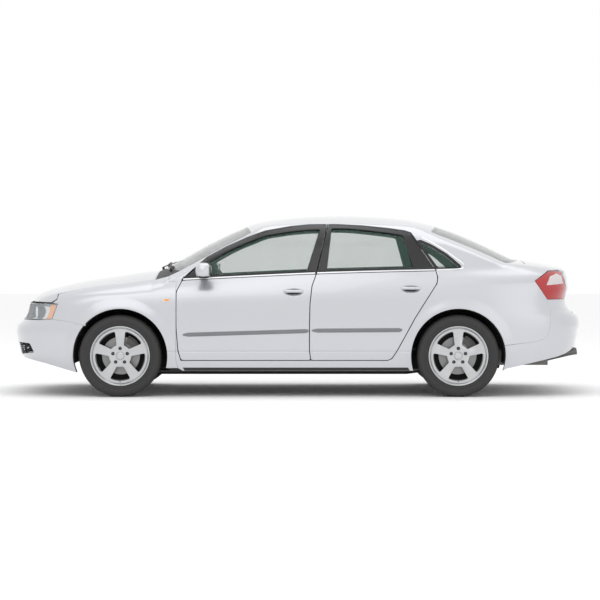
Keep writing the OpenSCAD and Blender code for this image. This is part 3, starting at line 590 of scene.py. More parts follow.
def thinned(loop, least=3.0):
    out = [np.array(loop[0], float)]
    for p in loop[1:]:
        if np.linalg.norm(np.array(p, float) - out[-1]) > least:
            out.append(np.array(p, float))
    if np.linalg.norm(out[0] - out[-1]) <= least:
        out.pop()
    return out


def skin(build, surface, outer, holes=(), depth=25, mat=None, step=15, lip=2.0, plane=None, inner=True,
         inner_mat=None, rows=()):
    """A panel over a region of a surface: outer skin with a rounded edge, rim and inner face."""
    loops = [thinned(ccw(outer))] + [thinned(ccw(h)) for h in holes]
    signs = [1] + [-1] * len(holes)
    edge = [offset_outline(loop, -lip * s) for loop, s in zip(loops, signs)]
    low, high = np.array(loops[0]).min(0), np.array(loops[0]).max(0)
    grid_u = np.arange(low[0] + step / 2, high[0], step)
    grid_v = np.array(sorted(list(np.arange(low[1] + step / 2, high[1],
                                            step)) + [r for r in rows if low[1] < r < high[1]]))
    uv, faces = fill(edge[0], edge[1:], grid_u, grid_v, step)
    build.add(surface.points(uv), faces, surface.normals(uv), mat, surface.turned)

    def under(uv_points):
        p = surface.points(uv_points)
        if plane is None:
            return p - depth * surface.normals(uv_points)
        q = p.copy()
        q[:, 1] = np.minimum(p[:, 1] - depth, plane)
        return q

    for loop, start, sign in zip(loops, edge, signs):
        loop, start = np.array(loop), np.array(start)
        n = len(loop)
        top, end = surface.points(start), surface.points(loop)
        normal = surface.normals(start)
        out = end - top
        out /= np.maximum(np.linalg.norm(out, axis=1), 1e-9)[:, None]
        rings, norms = [], []
        for angle in np.radians([0, 45, 90]):
            at = start + (loop - start) * math.sin(angle)
            rings.append(surface.points(at) - lip * (1 - math.cos(angle)) * surface.normals(at))
            norms.append(normal * math.cos(angle) + out * math.sin(angle))
        rings.append(under(loop))
        norms.append(out)
        strip = [(k * n + i, k * n + (i + 1) % n, (k + 1) * n + (i + 1) % n, (k + 1) * n + i)
                 for k in range(3) for i in range(n)]
        flip = surface.turned == (sign > 0)
        build.add(np.concatenate(rings), strip, np.concatenate(norms), mat, not flip)
    if inner:
        wide = max(step * 2.5, 35)
        uv, faces = fill(loops[0], loops[1:], np.arange(low[0] + 10, high[0], wide),
                         np.arange(low[1] + 10, high[1], wide), wide)
        build.add(under(uv), faces, -surface.normals(uv) if plane is None else None, inner_mat or mat,
                  not surface.turned)
    return build


def side_split(outline, height, above):
    """The part of a side-view outline above or below a height given at each x."""
    pts = dense(outline, 12)
    keep = [(p[1] > height(p[0])) == above for p in pts]
    start = next(i for i in range(len(pts)) if keep[i] and not keep[i - 1])
    run = []
    for k in range(len(pts)):
        p = pts[(start + k) % len(pts)]
        if not keep[(start + k) % len(pts)]:
            break
        run.append((p[0], p[1]))
    xs = np.linspace(run[-1][0], run[0][0], 40)
    return run + [(x, float(height(x))) for x in xs]


def tube(build, path, radius, mat, sides=10, closed=False, squash=(1, 1)):
    """Round or flattened bar along a path; squash scales it across and along its own up direction."""
    path = np.array(path, float)
    n = len(path)
    ahead = np.roll(path, -1, 0) - np.roll(path, 1, 0)
    if not closed:
        ahead[0], ahead[-1] = path[1] - path[0], path[-1] - path[-2]
    ahead /= np.maximum(np.linalg.norm(ahead, axis=1), 1e-9)[:, None]
    up = np.array([0, 0, 1.0]) if abs(ahead[:, 2]).max() < 0.95 else np.array([0, 1.0, 0])
    a = np.cross(ahead, up)
    a /= np.maximum(np.linalg.norm(a, axis=1), 1e-9)[:, None]
    b = np.cross(a, ahead)
    w = np.linspace(0, 2 * math.pi, sides, endpoint=False)
    ring = np.cos(w)[None, :, None] * a[:, None] * squash[0] + np.sin(w)[None, :, None] * b[:,
        None] * squash[1]
    norm = np.cos(w)[None, :, None] * a[:, None] / squash[0] + np.sin(w)[None, :, None] * b[:,
        None] / squash[1]
    norm /= np.linalg.norm(norm, axis=2, keepdims=True)
    verts = path[:, None] + ring * radius
    spans = n if closed else n - 1
    faces = [(i * sides + j, i * sides + (j + 1) % sides, (i + 1) % n * sides + (j + 1) % sides,
              (i + 1) % n * sides + j)
             for i in range(spans) for j in range(sides)]
    build.add(verts.reshape(-1, 3), faces, norm.reshape(-1, 3), mat, True)
    if not closed:
        for i, flip in ((0, False), (n - 1, True)):
            build.add(verts[i], [tuple(range(sides))], None, mat, flip)
    return build


def lathe(build, profile, mat, sides=96, smooth_angle=35):
    """Body turned about the Y axis; profile points are (radius, y)."""
    p = np.array(profile, float)
    d = np.diff(p, axis=0)
    seg = np.stack([-d[:, 1], d[:, 0]], -1)
    seg /= np.maximum(np.linalg.norm(seg, axis=1), 1e-9)[:, None]
    w = np.linspace(0, 2 * math.pi, sides, endpoint=False)
    limit = math.cos(math.radians(smooth_angle))
    for i in range(len(d)):
        ends = []
        for k, j in ((0, i - 1), (1, i + 1)):
            near = seg[j] if 0 <= j < len(seg) else seg[i]
            n = seg[i] + near if seg[i] @ near > limit else seg[i]
            ends.append(n / np.linalg.norm(n))
        verts, norms = [], []
        for point, n in zip((p[i], p[i + 1]), ends):
            verts.append(np.stack([point[0] * np.cos(w), np.full(sides, point[1]), point[0] * np.sin(w)], -1))
            norms.append(np.stack([n[0] * np.cos(w), np.full(sides, n[1]), n[0] * np.sin(w)], -1))
        faces = [(j, (j + 1) % sides, sides + (j + 1) % sides, sides + j) for j in range(sides)]
        build.add(np.concatenate(verts), faces, np.concatenate(norms), mat)
    return build


def box(build, a, b, mat, bevel=0.0):
    """Box between two corners with bevelled edges."""
    a, b = np.minimum(a, b).astype(float), np.maximum(a, b).astype(float)
    mesh = bmesh.new()
    bmesh.ops.create_cube(mesh, size=1)
    for v in mesh.verts:
        v.co = Vector((a + b) / 2) + Vector([c * s for c, s in zip(v.co, b - a)])
    if bevel:
        bmesh.ops.bevel(mesh, geom=mesh.edges[:], offset=bevel, segments=2, affect="EDGES", profile=0.6)
    verts = np.array([v.co[:] for v in mesh.verts])
    faces = [tuple(v.index for v in f.verts) for f in mesh.faces]
    mesh.free()
    return build.add(verts, faces, None, mat)


def repeat_round(source, count, name):
    """Copies of a mesh set evenly about the Y axis, through Geometry Nodes."""
    tree = bpy.data.node_groups.new("repeat_" + name, "GeometryNodeTree")
    tree.interface.new_socket("Geometry", in_out="INPUT", socket_type="NodeSocketGeometry")
    number = tree.interface.new_socket("Count", in_out="INPUT", socket_type="NodeSocketInt")
    tree.interface.new_socket("Geometry", in_out="OUTPUT", socket_type="NodeSocketGeometry")
    start, end = tree.nodes.new("NodeGroupInput"), tree.nodes.new("NodeGroupOutput")
    line = tree.nodes.new("GeometryNodeMeshLine")
    line.inputs["Offset"].default_value = (0, 0, 0)
    place = tree.nodes.new("GeometryNodeInstanceOnPoints")
    index = tree.nodes.new("GeometryNodeInputIndex")
    share = tree.nodes.new("ShaderNodeMath")
    share.operation = "DIVIDE"
    turn = tree.nodes.new("ShaderNodeMath")
    turn.operation = "MULTIPLY"
    turn.inputs[1].default_value = 2 * math.pi
    angles = tree.nodes.new("ShaderNodeCombineXYZ")
    real = tree.nodes.new("GeometryNodeRealizeInstances")
    join = [
        (start.outputs["Count"], line.inputs["Count"]), (line.outputs[0], place.inputs["Points"]),
        (start.outputs["Geometry"], place.inputs["Instance"]), (index.outputs[0], share.inputs[0]),
        (start.outputs["Count"], share.inputs[1]), (share.outputs[0], turn.inputs[0]),
        (turn.outputs[0], angles.inputs["Y"]), (angles.outputs[0], place.inputs["Rotation"]),
        (place.outputs[0], real.inputs[0]), (real.outputs[0], end.inputs[0])]
    for a, b in join:
        tree.links.new(a, b)
    holder = bpy.data.objects.new(name, source)
    bpy.context.scene.collection.objects.link(holder)
    modifier = holder.modifiers.new("repeat", "NODES")
    modifier.node_group = tree
    modifier[number.identifier] = count
    bpy.context.view_layer.update()
    made = bpy.data.meshes.new_from_object(holder.evaluated_get(bpy.context.evaluated_depsgraph_get()))
    bpy.data.objects.remove(holder)
    return made


# ---------------------------------------------------------------- outlines, seen from the side
def belt(x):
    return curve(BELT_LINE, x)


FRONT_DOOR = [
    (-911, 289), (-933, 363), (-947, 546), (-947, 823), (-901, 916), (-712, 1088), (-560, 1172),
    (-405, 1241), (-253, 1296), (-53, 1332), (100, 1347), (232, 1348), (146, 965), (111, 870),
    (95, 731), (91, 546), (91, 363), (101, 289)]
REAR_DOOR = [
    (107, 289), (97, 363), (97, 546), (101, 731), (117, 870), (152, 965), (244, 1348), (322, 1348),
    (520, 1337), (719, 1316), (848, 1297), (893, 1282), (1078, 1004), (1098, 940), (1090, 890),
    (1017, 777), (918, 621), (848, 492), (778, 363), (738, 303), (709, 289)]
FRONT_WINDOW = [
    (-700, 942), (-697, 1056), (-550, 1142), (-400, 1211), (-251, 1266), (-52, 1300), (100, 1314),
    (181, 1316), (76, 974)]
REAR_WINDOW = [(230, 984), (271, 1324), (400, 1322), (520, 1312), (719, 1288), (834, 1268), (912, 1002)]
QUARTER = [(1105, 1014), (1275, 1014), (1165, 1108), (1050, 1178), (962, 1216)]
QUARTER_SEAM = [(1600, 402), (1850, 430), (1935, 452), (1970, 490), (1985, 560), (1990, 680), (1962, 762.7)]
CREASE_ROWS = (344, 349, 352, 354, 356, 358, 360, 363, 368)


def arc(cx, cz, r, a0, a1, n=48):
    return [(cx + r * math.cos(math.radians(a0 + (a1 - a0) * i / n)),
             cz + r * math.sin(math.radians(a0 + (a1 - a0) * i / n))) for i in range(n + 1)]


def side_path(points, step=14, closed=True):
    return by_height(dense(points, step, closed))


def top_edge(points, step=14):
    return by_width(dense(points, step, False))


def add_both(build, part):
    """Join a part and its mirror image to a build."""
    build.join(part)
    build.join(part.mirrored())
    return build


def across(half):
    """A half outline on the +Y side, closed over the middle of the car."""
    return half + [(x, -y) for x, y in reversed(half)]


def along(surface, sink, points):
    """Places under a ring surface, at half widths and heights."""
    return [sunk(surface, sink).points(np.array([surface.from_y([p])[0]]))[0] for p in points]


def on_side(points):
    """Places on the side of the body, at stations and heights."""
    return [side_point(np.array([x]), np.array([by_height([(x, z)])[0][1]]))[0] for x, z in points]


# Body sides: sill, posts, roof rail and rear quarter in one piece
def body_side():
    start = 180 + math.degrees(math.asin((HUB - 204) / ARCH))
    foot = arc(REAR_AXLE, HUB, ARCH, start, 13.0)
    lower = [(-953, 905), (-953, 290), (-935, 225), (-900, 204)] + foot
    seam = [(1850, 430), (1935, 452), (1970, 490), (1985, 560), (1990, 680), (1964, 763), (1862, 910),
            (1983, 991)]
    loop = side_path(lower + seam, 14, False)[:-1]
    tail_x = float(np.interp(-568, -half_width(np.arange(1990, 2140, 1.0), 995.0),
                             np.arange(1990, 2140, 1.0)))
    loop += side_path([(1983, 991), (tail_x, 991)], 12, False)[:-1]
    loop += top_edge([(tail_x, 566), (1809, 566), (1677, 641), (1400, 600), (1066, 548), (1073, 495),
                      (-377, 495),
                      (-372, 548), (-930, 690), (-1010, 690)])
    loop += side_path([(-1010, 985), (-1010, 905)], 12, False)
    gaps = []
    for outline in (FRONT_DOOR, REAR_DOOR):
        low = offset_outline(ccw(dense(outline, 12)), 6)
        high = offset_outline(ccw(dense(outline, 12)), 12)
        mixed = [l if l[1] < belt(l[0]) else h for l, h in zip(low, high)]
        gaps.append(by_height(thinned(rounded(mixed, 3, 1), 4)))
    gaps.append(side_path(rounded(QUARTER, 14), 10))
    build = Build()
    skin(build, SIDE, loop, gaps, depth=34, mat=PAINT, plane=None, rows=CREASE_ROWS, inner_mat=SEALER)
    return build


both(body_side(), "body_side_shell", "body", ["body_side"], "paint")

# Dark strip along the lower edge of the sills
sill = Build()
strip = side_path([(-885, 206), (880, 206), (868, 230), (-900, 230)], 14)
skin(sill, sunk(SIDE, -1.6), strip, depth=6, mat=BLACK, step=14, lip=1.2)
add_both(Build(), sill).object("dark_sill_strips", "body", (), "black_plastic")

FRONT_DOORS, REAR_DOORS = ((f"{end}_door_right", f"{end}_door_left") for end in ("front", "rear"))

# Doors: painted skin below the belt, black frame above it, inner trim and grey rub strip
HANDLES = {"front": (-105, 48, 814), "rear": (812, 968, 838)}


def dish(surface, handle):
    """Hollow behind a door handle."""
    x0, x1, z0 = handle
    cx, cz, a, b = (x0 + x1) / 2, z0 + 6, (x1 - x0) / 2 + 4, 30.0

    def place(x, t):
        p = surface.place(x, t)
        d = np.sqrt(((p[..., 0] - cx) / a) ** 2 + ((p[..., 2] - cz) / b) ** 2)
        p[..., 1] -= 19 * (1 - smooth(0.55, 1.0, d))
        return p
    return Surface(place, surface.turned)


def door(kind, outline, window, strip_ends, strip_z):
    build = Build()
    surface = dish(SIDE, HANDLES[kind])
    x0, x1, z0 = HANDLES[kind]
    pts = ccw(outline)
    low = side_split(rounded(pts, 18, 3), lambda x: belt(x) - 4, False)
    loop = by_height(low)
    skin(build, surface, loop, depth=30, mat=PAINT, plane=825,
         rows=tuple(CREASE_ROWS) + tuple(range(745, 855, 5)),
         inner=False)
    frame_loop = by_height(side_split(rounded(pts, 18, 3), lambda x: belt(x) - 3, True))
    glass_loop = by_height(dense(rounded(window, 16), 10))
    skin(build, SIDE, frame_loop, [glass_loop], depth=30, mat=GLOSSY, step=16)
    # Inner half, set back from the edge
    inner = offset_outline(ccw(dense(low, 20)), -14)
    skin(build, sunk(SIDE, 26), by_height(thinned(inner, 10)), depth=20, mat=TRIM, step=40,
         plane=785, inner_mat=TRIM)
    # Bright strip along the belt and black strip above it
    ends = [p[0] for p in low if abs(p[1] - belt(p[0])) < 8]
    xs = np.linspace(min(ends) + 5, max(ends) - 5, 60)
    for lift, height, mat, out in ((5, 6.0, CHROME, 2.6), (19, 9.0, BLACK, 2.0)):
        path = [p + [0, 0.6, 0] for p in on_side([(x, belt(x) + lift) for x in xs])]
        tube(build, path, 1.0, mat, 10, False, (out, height))
    # Rub strip
    xs = np.linspace(strip_ends[0], strip_ends[1], 60)
    z_low, z_high = strip_z
    mid = [(x, z_low + (z_high - z_low) * (x - strip_ends[0]) / (strip_ends[1] - strip_ends[0])) for x in xs]
    half = [17 * min(1.0, 0.35 + abs(x - strip_ends[0]) / 60, 0.5 + abs(x - strip_ends[1]) / 40) for x in xs]
    rub(build, mid, half)
    # Handle: bar on two feet over the hollow
    span = np.linspace(x0 + 10, x1 - 10, 24)
    path = []
    for x in span:
        u = abs((x - (x0 + x1) / 2) / ((x1 - x0) / 2))
        path.append([x, float(half_width(x, z0 + 16)) + 8 - 14 * u ** 6, z0 + 15])
    tube(build, path, 1.0, PAINT, 16, False, (7, 11.5))
    for x in (x0 + 14, x1 - 14):
        y = float(half_width(x, z0 + 16))
        box(build, (x - 12, y - 22, z0 + 4), (x + 12, y + 2, z0 + 26), PAINT, 3)
    box(build, (x0 + 12, float(half_width(x0, z0)) - 21, z0 - 10),
        (x1 - 12, float(half_width(x0, z0)) - 13, z0 + 20), BLACK, 3)
    return build


def rub(build, mid, half):
    """Raised strip along the side with a bevelled top and bottom edge."""
    rows = []
    profile = [(-1, 0.0), (-0.98, 5.0), (-0.7, 8.0), (0.62, 9.0), (0.9, 6.0), (1, 0.0)]
    for (x, z), h in zip(mid, half):
        rows.append([[x, float(half_width(x, z + k * h)) - 1 + d, z + k * h] for k, d in profile])
    rows = np.array(rows)
    n, m = rows.shape[:2]
    for j in range(m - 1):
        pair = rows[:, j:j + 2].reshape(-1, 3)
        d = rows[:, j + 1] - rows[:, j]
        normal = np.cross(np.array([1.0, 0, 0]), d) * -1
        normal /= np.linalg.norm(normal, axis=1)[:, None]
        faces = [(2 * i, 2 * i + 1, 2 * i + 3, 2 * i + 2) for i in range(n - 1)]
        build.add(pair, faces, np.repeat(normal, 2, 0), CHROME if j == m - 2 else STRIP, False)
    for i, flip in ((0, True), (n - 1, False)):
        build.add(rows[i], [tuple(range(m))], None, STRIP, flip)


both(door("front", FRONT_DOOR, FRONT_WINDOW, (-897, 87), (489, 519)), "front_door_shell",
     FRONT_DOORS, ["front_door"], "paint")
both(door("rear", REAR_DOOR, REAR_WINDOW, (112, 818), (522, 526)), "rear_door_shell",
     REAR_DOORS, ["rear_door"], "paint")


def soft_line(points):
    """Open line with its bends evened out."""
    p = np.array(points, float)
    for _ in range(3):
        p[1:-1] = (p[:-2] + 2 * p[1:-1] + p[2:]) / 4
    return p


# Side glass, set back in its frame
def pane(outline, depth, extra=None):
    build = Build()
    loop = by_height(dense(rounded(outline, 16), 12))
    skin(build, sunk(SIDE, depth), loop, depth=5, mat=GLASS, step=30, lip=0.6)
    if extra:
        extra(build)
    return build


def filler(build):
    """Opaque corner of the rear door, behind its glass."""
    loop = by_height(dense([(914, 1000), (1070, 1003), (905, 1250), (842, 1262)], 12))
    skin(build, sunk(SIDE, 9), loop, depth=2, mat=BLACK, step=30, lip=0.5)


both(pane(FRONT_WINDOW, PANE_SET), "front_side_glass", FRONT_DOORS, ["front_glass"], "window_glass")
both(pane(REAR_WINDOW, PANE_SET, filler), "rear_side_glass", REAR_DOORS, ["rear_glass"], "window_glass")
quarter = pane(QUARTER, PANE_SET)
band = offset_outline(ccw(dense(rounded(QUARTER, 16), 10)), 20)
glass_edge = dense(rounded(QUARTER, 16), 10)
skin(quarter, sunk(SIDE, -1.0), by_height(band), [by_height(glass_edge)], depth=3, mat=GLOSSY, step=14,
     lip=0.6)
curl = [(1092, belt(1092) + 5), (1180, belt(1180) + 5), (1262, belt(1262) + 5), (1306, 1008), (1316, 1024),
        (1304, 1046),
        (1240, 1092), (1160, 1152), (1060, 1212), (985, 1250)]
curl = dense(curl, 18, False)
edge = [p + [0, 0.8, 0] for p in on_side(soft_line(curl))]
tube(quarter, edge, 1.0, CHROME, 10, False, (3.0, 6.0))
quarter.join(quarter.mirrored())
quarter.object("quarter_glass", "body", ["quarter_windows"], "window_glass")


# ---------------------------------------------------------------- wings, bonnet, roof and lid
def fender():
    foot = arc(FRONT_AXLE, HUB, ARCH, -15.0, 137.5)
    rear = [(-1010.5, 904.5), (-953.4, 904.5), (-953.4, 290), (-935.4, 225), (-1031.0, 225)]
    loop = side_path([(-1010.5, 985), *rear], 14, False)[:-1]
    loop += side_path(foot, 14, False)[:-1]
    loop += side_path([(-1660, 560.5), (-1800, 590.5), (-1927, 607.8), (-1882.2, 728.5), (-1926, 736),
                       (-1883, 768)], 12, False)[:-1]
    upper = [(x, 706) for x in np.arange(-1883, -1115, 14)] + [(-1118, 706), (-1118, 691), (-1012, 691)]
    loop += by_width(upper)
    build = Build()
    skin(build, SIDE, loop, depth=CLAD, mat=PAINT, rows=CREASE_ROWS, inner_mat=SEALER)
    # Side repeater lamp
    ring = rounded([(-1069, 741), (-991, 741), (-991, 776), (-1069, 776)], 14)
    skin(build, sunk(SIDE, -3), side_path(ring, 6), depth=6, mat=FROST, step=12, lip=2.5)
    ring = rounded([(-1042, 752), (-1006, 752), (-1006, 766), (-1042, 766)], 5)
    skin(build, sunk(SIDE, -3.6), side_path(ring, 6), depth=3, mat=AMBER, step=12, lip=0.5)
    return build


add_both(Build(), fender()).object("fender_shells", "body", ["fenders"], "paint")


def top_piece(name, body, nodes, half, depth, mat, slot, step=16, bend=None, inner_mat=None):
    """Panel of the upper surface, drawn as its +Y half."""
    build = Build()
    skin(build, bend or TOP, dense(across(half), 12), depth=depth, mat=mat, step=step, inner_mat=inner_mat)
    return build.object(name, body, nodes, slot)


def front_edge(y, height):
    """Where the bonnet comes down to a height, at a half width."""
    xs = np.arange(-2200.0, -1900.0, 1.0)
    return float(np.interp(height, top_z(xs, y), xs))


# Bonnet: middle from the top surface, front corners from the sides' rounded edge
bonnet = Build()
JOIN_Y = 600
half = [(-1125, 700), (-1893, 700), (-1893, JOIN_Y)]
half += [(front_edge(y, 741.0), y) for y in np.linspace(JOIN_Y, 0.01, 40)]
half = dense(half, 14, False)
skin(bonnet, TOP, across(half), depth=LID_DEPTH, mat=PAINT, inner_mat=SEALER)
tip = front_edge(JOIN_Y, 741.0)
corner = by_width([(x, JOIN_Y) for x in np.linspace(-1893, tip, 14)])
corner += side_path([(tip + 6, 742), (-1938, 741), (-1893, 771), (-1893, 800)], 10, False)
corner += by_width([(-1893, 700)])
corner_piece = Build()
skin(corner_piece, SIDE, corner, depth=LID_DEPTH, mat=PAINT, step=8, lip=0.8, inner_mat=SEALER)
add_both(bonnet, corner_piece)
bonnet.object("bonnet_shell", "bonnet", ["bonnet"], "paint")

SCREEN_BASE = [(-1090, 0.01), (-1078, 190), (-1046, 365), (-990, 545), (-930, 690)]
SCREEN_HEAD = [(-372, 548), (-378, 495), (-404, 280), (-420, 0.01)]
ROOF_BACK = [(1066, 548), (1074, 495), (1112, 280), (1125, 0.01)]
BACK_BASE = [(1790, 0.01), (1778, 250), (1740, 450), (1676, 640)]
top_piece("roof_skin", "body", ["roof_panel"],
          [(-419, 0.01), (-403, 280), (-377, 495), (1073, 495), (1111, 280), (1124, 0.01)], 22, PAINT,
          "paint",
          inner_mat=TRIM)
top_piece("rear_deck_skin", "body", ["rear_deck"],
          [(1791, 0.01), (1779, 251), (1741, 451), (1677, 641), (1809, 566), (1809, 0.01)], 20, PAINT,
          "paint", 12)
top_piece("cowl_cover", "body", ["cowl_panel"],
          [(-1119, 0.01), (-1119, 690), (-930.6, 690), (-990.6, 545), (-1046.6, 365), (-1078.6, 190),
           (-1090.6, 0.01)],
          20, BLACK, "black_plastic", 12)


def screen(name, node, half, mat):
    """Bonded glass with a black band round its edge."""
    outline = dense(across(half), 14)
    build = Build()
    skin(build, TOP, outline, depth=6, mat=mat, step=24, lip=1.0)
    band = offset_outline(ccw(outline), -26)
    skin(build, sunk(TOP, 6.4), outline, [band], depth=1.5, mat=GLOSSY, step=14, lip=0.4)
    return build.object(name, "body", [node], "window_glass")


SCREEN_TINT = glass_finish("screen_glass", (0.13, 0.17, 0.16), 0.45)
screen("windscreen_glass", "windscreen", SCREEN_BASE + SCREEN_HEAD, SCREEN_TINT)
screen("rear_screen_glass", "rear_window", ROOF_BACK[::-1] + [(1066.5, 549), (1400, 600)] + BACK_BASE[::-1],
       SCREEN_TINT)

def tail_path(points, step=14, closed=True):
    return TAIL.from_y(dense(points, step, closed))


# Boot lid: top and back, with number plate recess, blank plate and pull strip
lid = Build()
outline = [(1815, -560), (2120, -560), (2131, -330), (2136, 0), (2131, 330), (2120, 560), (1815, 560)]
skin(lid, TOP, dense(outline, 12), depth=LID_DEPTH, mat=PAINT, step=14, inner_mat=TRIM)
edge_low = tail_path([(-560, 662), (560, 662)], closed=False)
edge_right = tail_path([(560, 662), (560, 763)], closed=False)
edge_left = [(-u, z) for u, z in reversed(edge_right[1:])]
edge_top = tail_path([(560, 1000), (-560, 1000)], closed=False)
recess = tail_path(rounded([(-290, 716), (290, 716), (272, 866), (-272, 866)], 16), 12)
skin(lid, TAIL, edge_low[:-1] + edge_right + edge_top + edge_left, [recess], depth=LID_DEPTH, mat=PAINT,
     step=14, inner_mat=TRIM, rows=(985, 990, 995))
skin(lid, sunk(TAIL, 18), recess, depth=3, mat=PAINT, step=20, lip=0.5)
plate = tail_path([(-255, 728), (255, 728), (255, 840), (-255, 840)])
skin(lid, sunk(TAIL, 8), plate, depth=3, mat=PLATE, step=25, lip=1.0)
grip = tail_path([(-268, 872), (268, 872), (268, 890), (-268, 890)])
skin(lid, sunk(TAIL, -5), grip, depth=8, mat=CHROME, step=14, lip=3.0)
lid.object("boot_lid_shell", "boot_lid", ["boot_lid"], "paint")

# ---------------------------------------------------------------- bumpers and grilles
LOW_OPENING = [(-430, 312), (430, 312), (400, 372), (-400, 372)]
MID_OPENING = [(-300, 603), (300, 603), (345, 731), (-345, 731)]
FOG_OPENING = [(505, 322), (705, 340), (690, 415), (500, 420)]


def nose_path(points, step=14, closed=True):
    return NOSE.from_y(dense(points, step, closed))


def front_bumper():
    side = [(-1660, 560), (-1800, 590), (-1930, 607)]
    wheel = arc(FRONT_AXLE, HUB, ARCH, 137.6, 201.2, 20)
    right = NOSE.from_x(dense(wheel[::-1] + side, 12, False))
    under = [(-1740, 190), (-1990, 259), (-2196, 300)]
    lower = NOSE.from_x(dense(under, 14, False)[:-1])
    front_low = [(u, 304.0) for u in np.linspace(lower[-1][0] - 14, 14, 50)]
    upper = [(u, float(np.interp(u, [0, right[-1][0] - 120, right[-1][0]], [598, 600, 606])))
             for u in np.linspace(14, right[-1][0] - 14, 60)]
    half = front_low[::-1] + lower[::-1] + right + upper[::-1]
    loop = half + [(-u, z) for u, z in reversed(half)]
    fogs = [nose_path(rounded(FOG_OPENING, 14), 10),
            nose_path(rounded([(-y, z) for y, z in FOG_OPENING], 14), 10)]
    build = Build()
    skin(build, NOSE, loop, [nose_path(rounded(LOW_OPENING, 14), 10)] + fogs, depth=CLAD, mat=PAINT, step=15,
         inner_mat=SEALER)
    return build


front_bumper().object("front_bumper_cover", "body", ["front_bumper"], "paint")


def rear_bumper():
    wheel = arc(REAR_AXLE, HUB, ARCH, -18.5, 12.7, 14)
    right = TAIL.from_x(dense(wheel + QUARTER_SEAM[1:-1] + [(1964, 762)], 12, False))
    lamp = [(u, 762.0) for u in np.arange(right[-1][0] - 14, TAIL.from_y([(568, 762)])[0][0], -14)]
    notch = tail_path([(566, 762), (566, 655), (1, 655)], closed=False)
    under = TAIL.from_x(dense([(1640, 221), (2050, 312), (2120, 335), (2200, 372)], 14, False))
    low = [(u, 378.0) for u in np.linspace(14, under[-1][0] - 14, 50)]
    half = low + under[::-1] + right + lamp + notch
    loop = half + [(-u, z) for u, z in reversed(half)]
    loop = [p for k, p in enumerate(loop) if np.hypot(p[0] - loop[k - 1][0], p[1] - loop[k - 1][1]) > 1]
    build = Build()
    skin(build, TAIL, loop, depth=CLAD, mat=PAINT, step=15, rows=CREASE_ROWS, inner_mat=SEALER)
    return build


rear_bumper().object("rear_bumper_cover", "body", ["rear_bumper"], "paint")


def grilles():
    build = Build()
    for shape in (LOW_OPENING, FOG_OPENING, [(-y, z) for y, z in FOG_OPENING]):
        loop = nose_path(rounded(shape, 14), 12)
        skin(build, sunk(NOSE, 34), loop, depth=6, mat=BLACK, step=25, lip=0.5)
        ys = [p[0] for p in shape]
        for z in np.arange(min(p[1] for p in shape) + 12, max(p[1] for p in shape) - 6, 15):
            lo, hi = min(ys) + 8, max(ys) - 8
            path = along(NOSE, 14, [(y, z) for y in np.linspace(lo, hi, 30)])
            if abs(z - 345) > 14 or max(abs(lo), abs(hi)) > 500:
                tube(build, path, 1.0, BLACK, 8, False, (9, 2.6))
    # Grille between the lamps
    loop = nose_path(MID_OPENING)
    skin(build, sunk(NOSE, 26), loop, depth=6, mat=BLACK, step=25, lip=0.5)
    for z in np.arange(614, 728, 14.0):
        wide = float(np.interp(z, [603, 731], [290, 335]))
        path = along(NOSE, 10, [(y, z) for y in np.linspace(-wide, wide, 40)])
        tube(build, path, 1.0, BLACK, 8, False, (9, 2.4))
    path = along(NOSE, 3, dense(rounded(MID_OPENING, 14), 14))
    tube(build, path, 6.0, CHROME, 10, True)
    # Fog lamps
    for side in (1, -1):
        c = along(NOSE, 16, [(side * 640, 376)])[0]
        lamp(build, c, np.array([-0.93, side * 0.36, 0]), 28)
    return build


def lamp(build, centre, facing, r, depth=30):
    """Round lamp: chrome bowl with a clear cover, looking along facing."""
    facing = facing / np.linalg.norm(facing)
    part = Build()
    lathe(part, [(r, 0), (r + 3, 1), (r + 4, -3), (r + 4, -depth), (0.1, -depth)], BLACK, 40)
    lathe(part, [(0.1, -depth * 0.8), (r * 0.45, -depth * 0.66), (r * 0.75, -depth * 0.42), (r, 0)], CHROME,
          40)
    lathe(part, [(0.1, -depth * 0.78 + 14), (6, -depth * 0.78 + 10), (7, -depth * 0.78)], FROST, 20)
    turn = Vector((0, 1, 0)).rotation_difference(Vector(facing)).to_matrix()
    build.join(part, centre, np.array(turn))


grilles().object("grille_set", "body", ["grilles"], "black_plastic")

# ---------------------------------------------------------------- lamps


def headlamp():
    build = Build()
    outer = NOSE.from_x(dense([(-1929.5, 607), (-1883.5, 728)], 10, False))
    upper = [(u, float(np.interp(u, [300, outer[-1][0]], [733, 729]))) for u in
             np.arange(outer[-1][0] - 10, NOSE.from_y([(352, 733)])[0][0], -12)]
    inner = NOSE.from_y(dense([(351, 733), (301, 604)], 10, False))
    lower = [(u, 604.0) for u in np.arange(inner[-1][0] + 12, outer[0][0] - 6, 12)]
    loop = outer + upper + inner + lower
    skin(build, NOSE, loop, depth=4, mat=LENS, step=18, lip=2.0)
    inset_loop = offset_outline(ccw(thinned(loop)), -8)
    skin(build, sunk(NOSE, 5), loop, [inset_loop], depth=30, mat=GLOSSY, step=12, lip=0.4)
    skin(build, sunk(NOSE, 48), loop, depth=4, mat=CHROME, step=16, lip=0.4)
    # Amber wedge at the outer end
    edge = outer[0][0]
    wedge = [(edge - 4, 611), (outer[-1][0] - 6, 723), (outer[-1][0] - 62, 726), (edge - 66, 700),
             (edge - 58, 655), (edge - 74, 609)]
    skin(build, sunk(NOSE, 9), dense(wedge, 10), depth=14, mat=AMBER, step=12, lip=1.5)
    for y, r in ((640, 48), (500, 46), (395, 34)):
        spot = np.array([NOSE.from_y([(y, 668)])[0]])
        c = sunk(NOSE, 22).points(spot)[0]
        n = NOSE.normals(spot)[0]
        lamp(build, c, n * [1, 1, 0] + [-0.8, 0, 0], r, 34)
    return build


add_both(Build(), headlamp()).object("headlamp_units", "body", ["headlamps"], "lamp_glass")


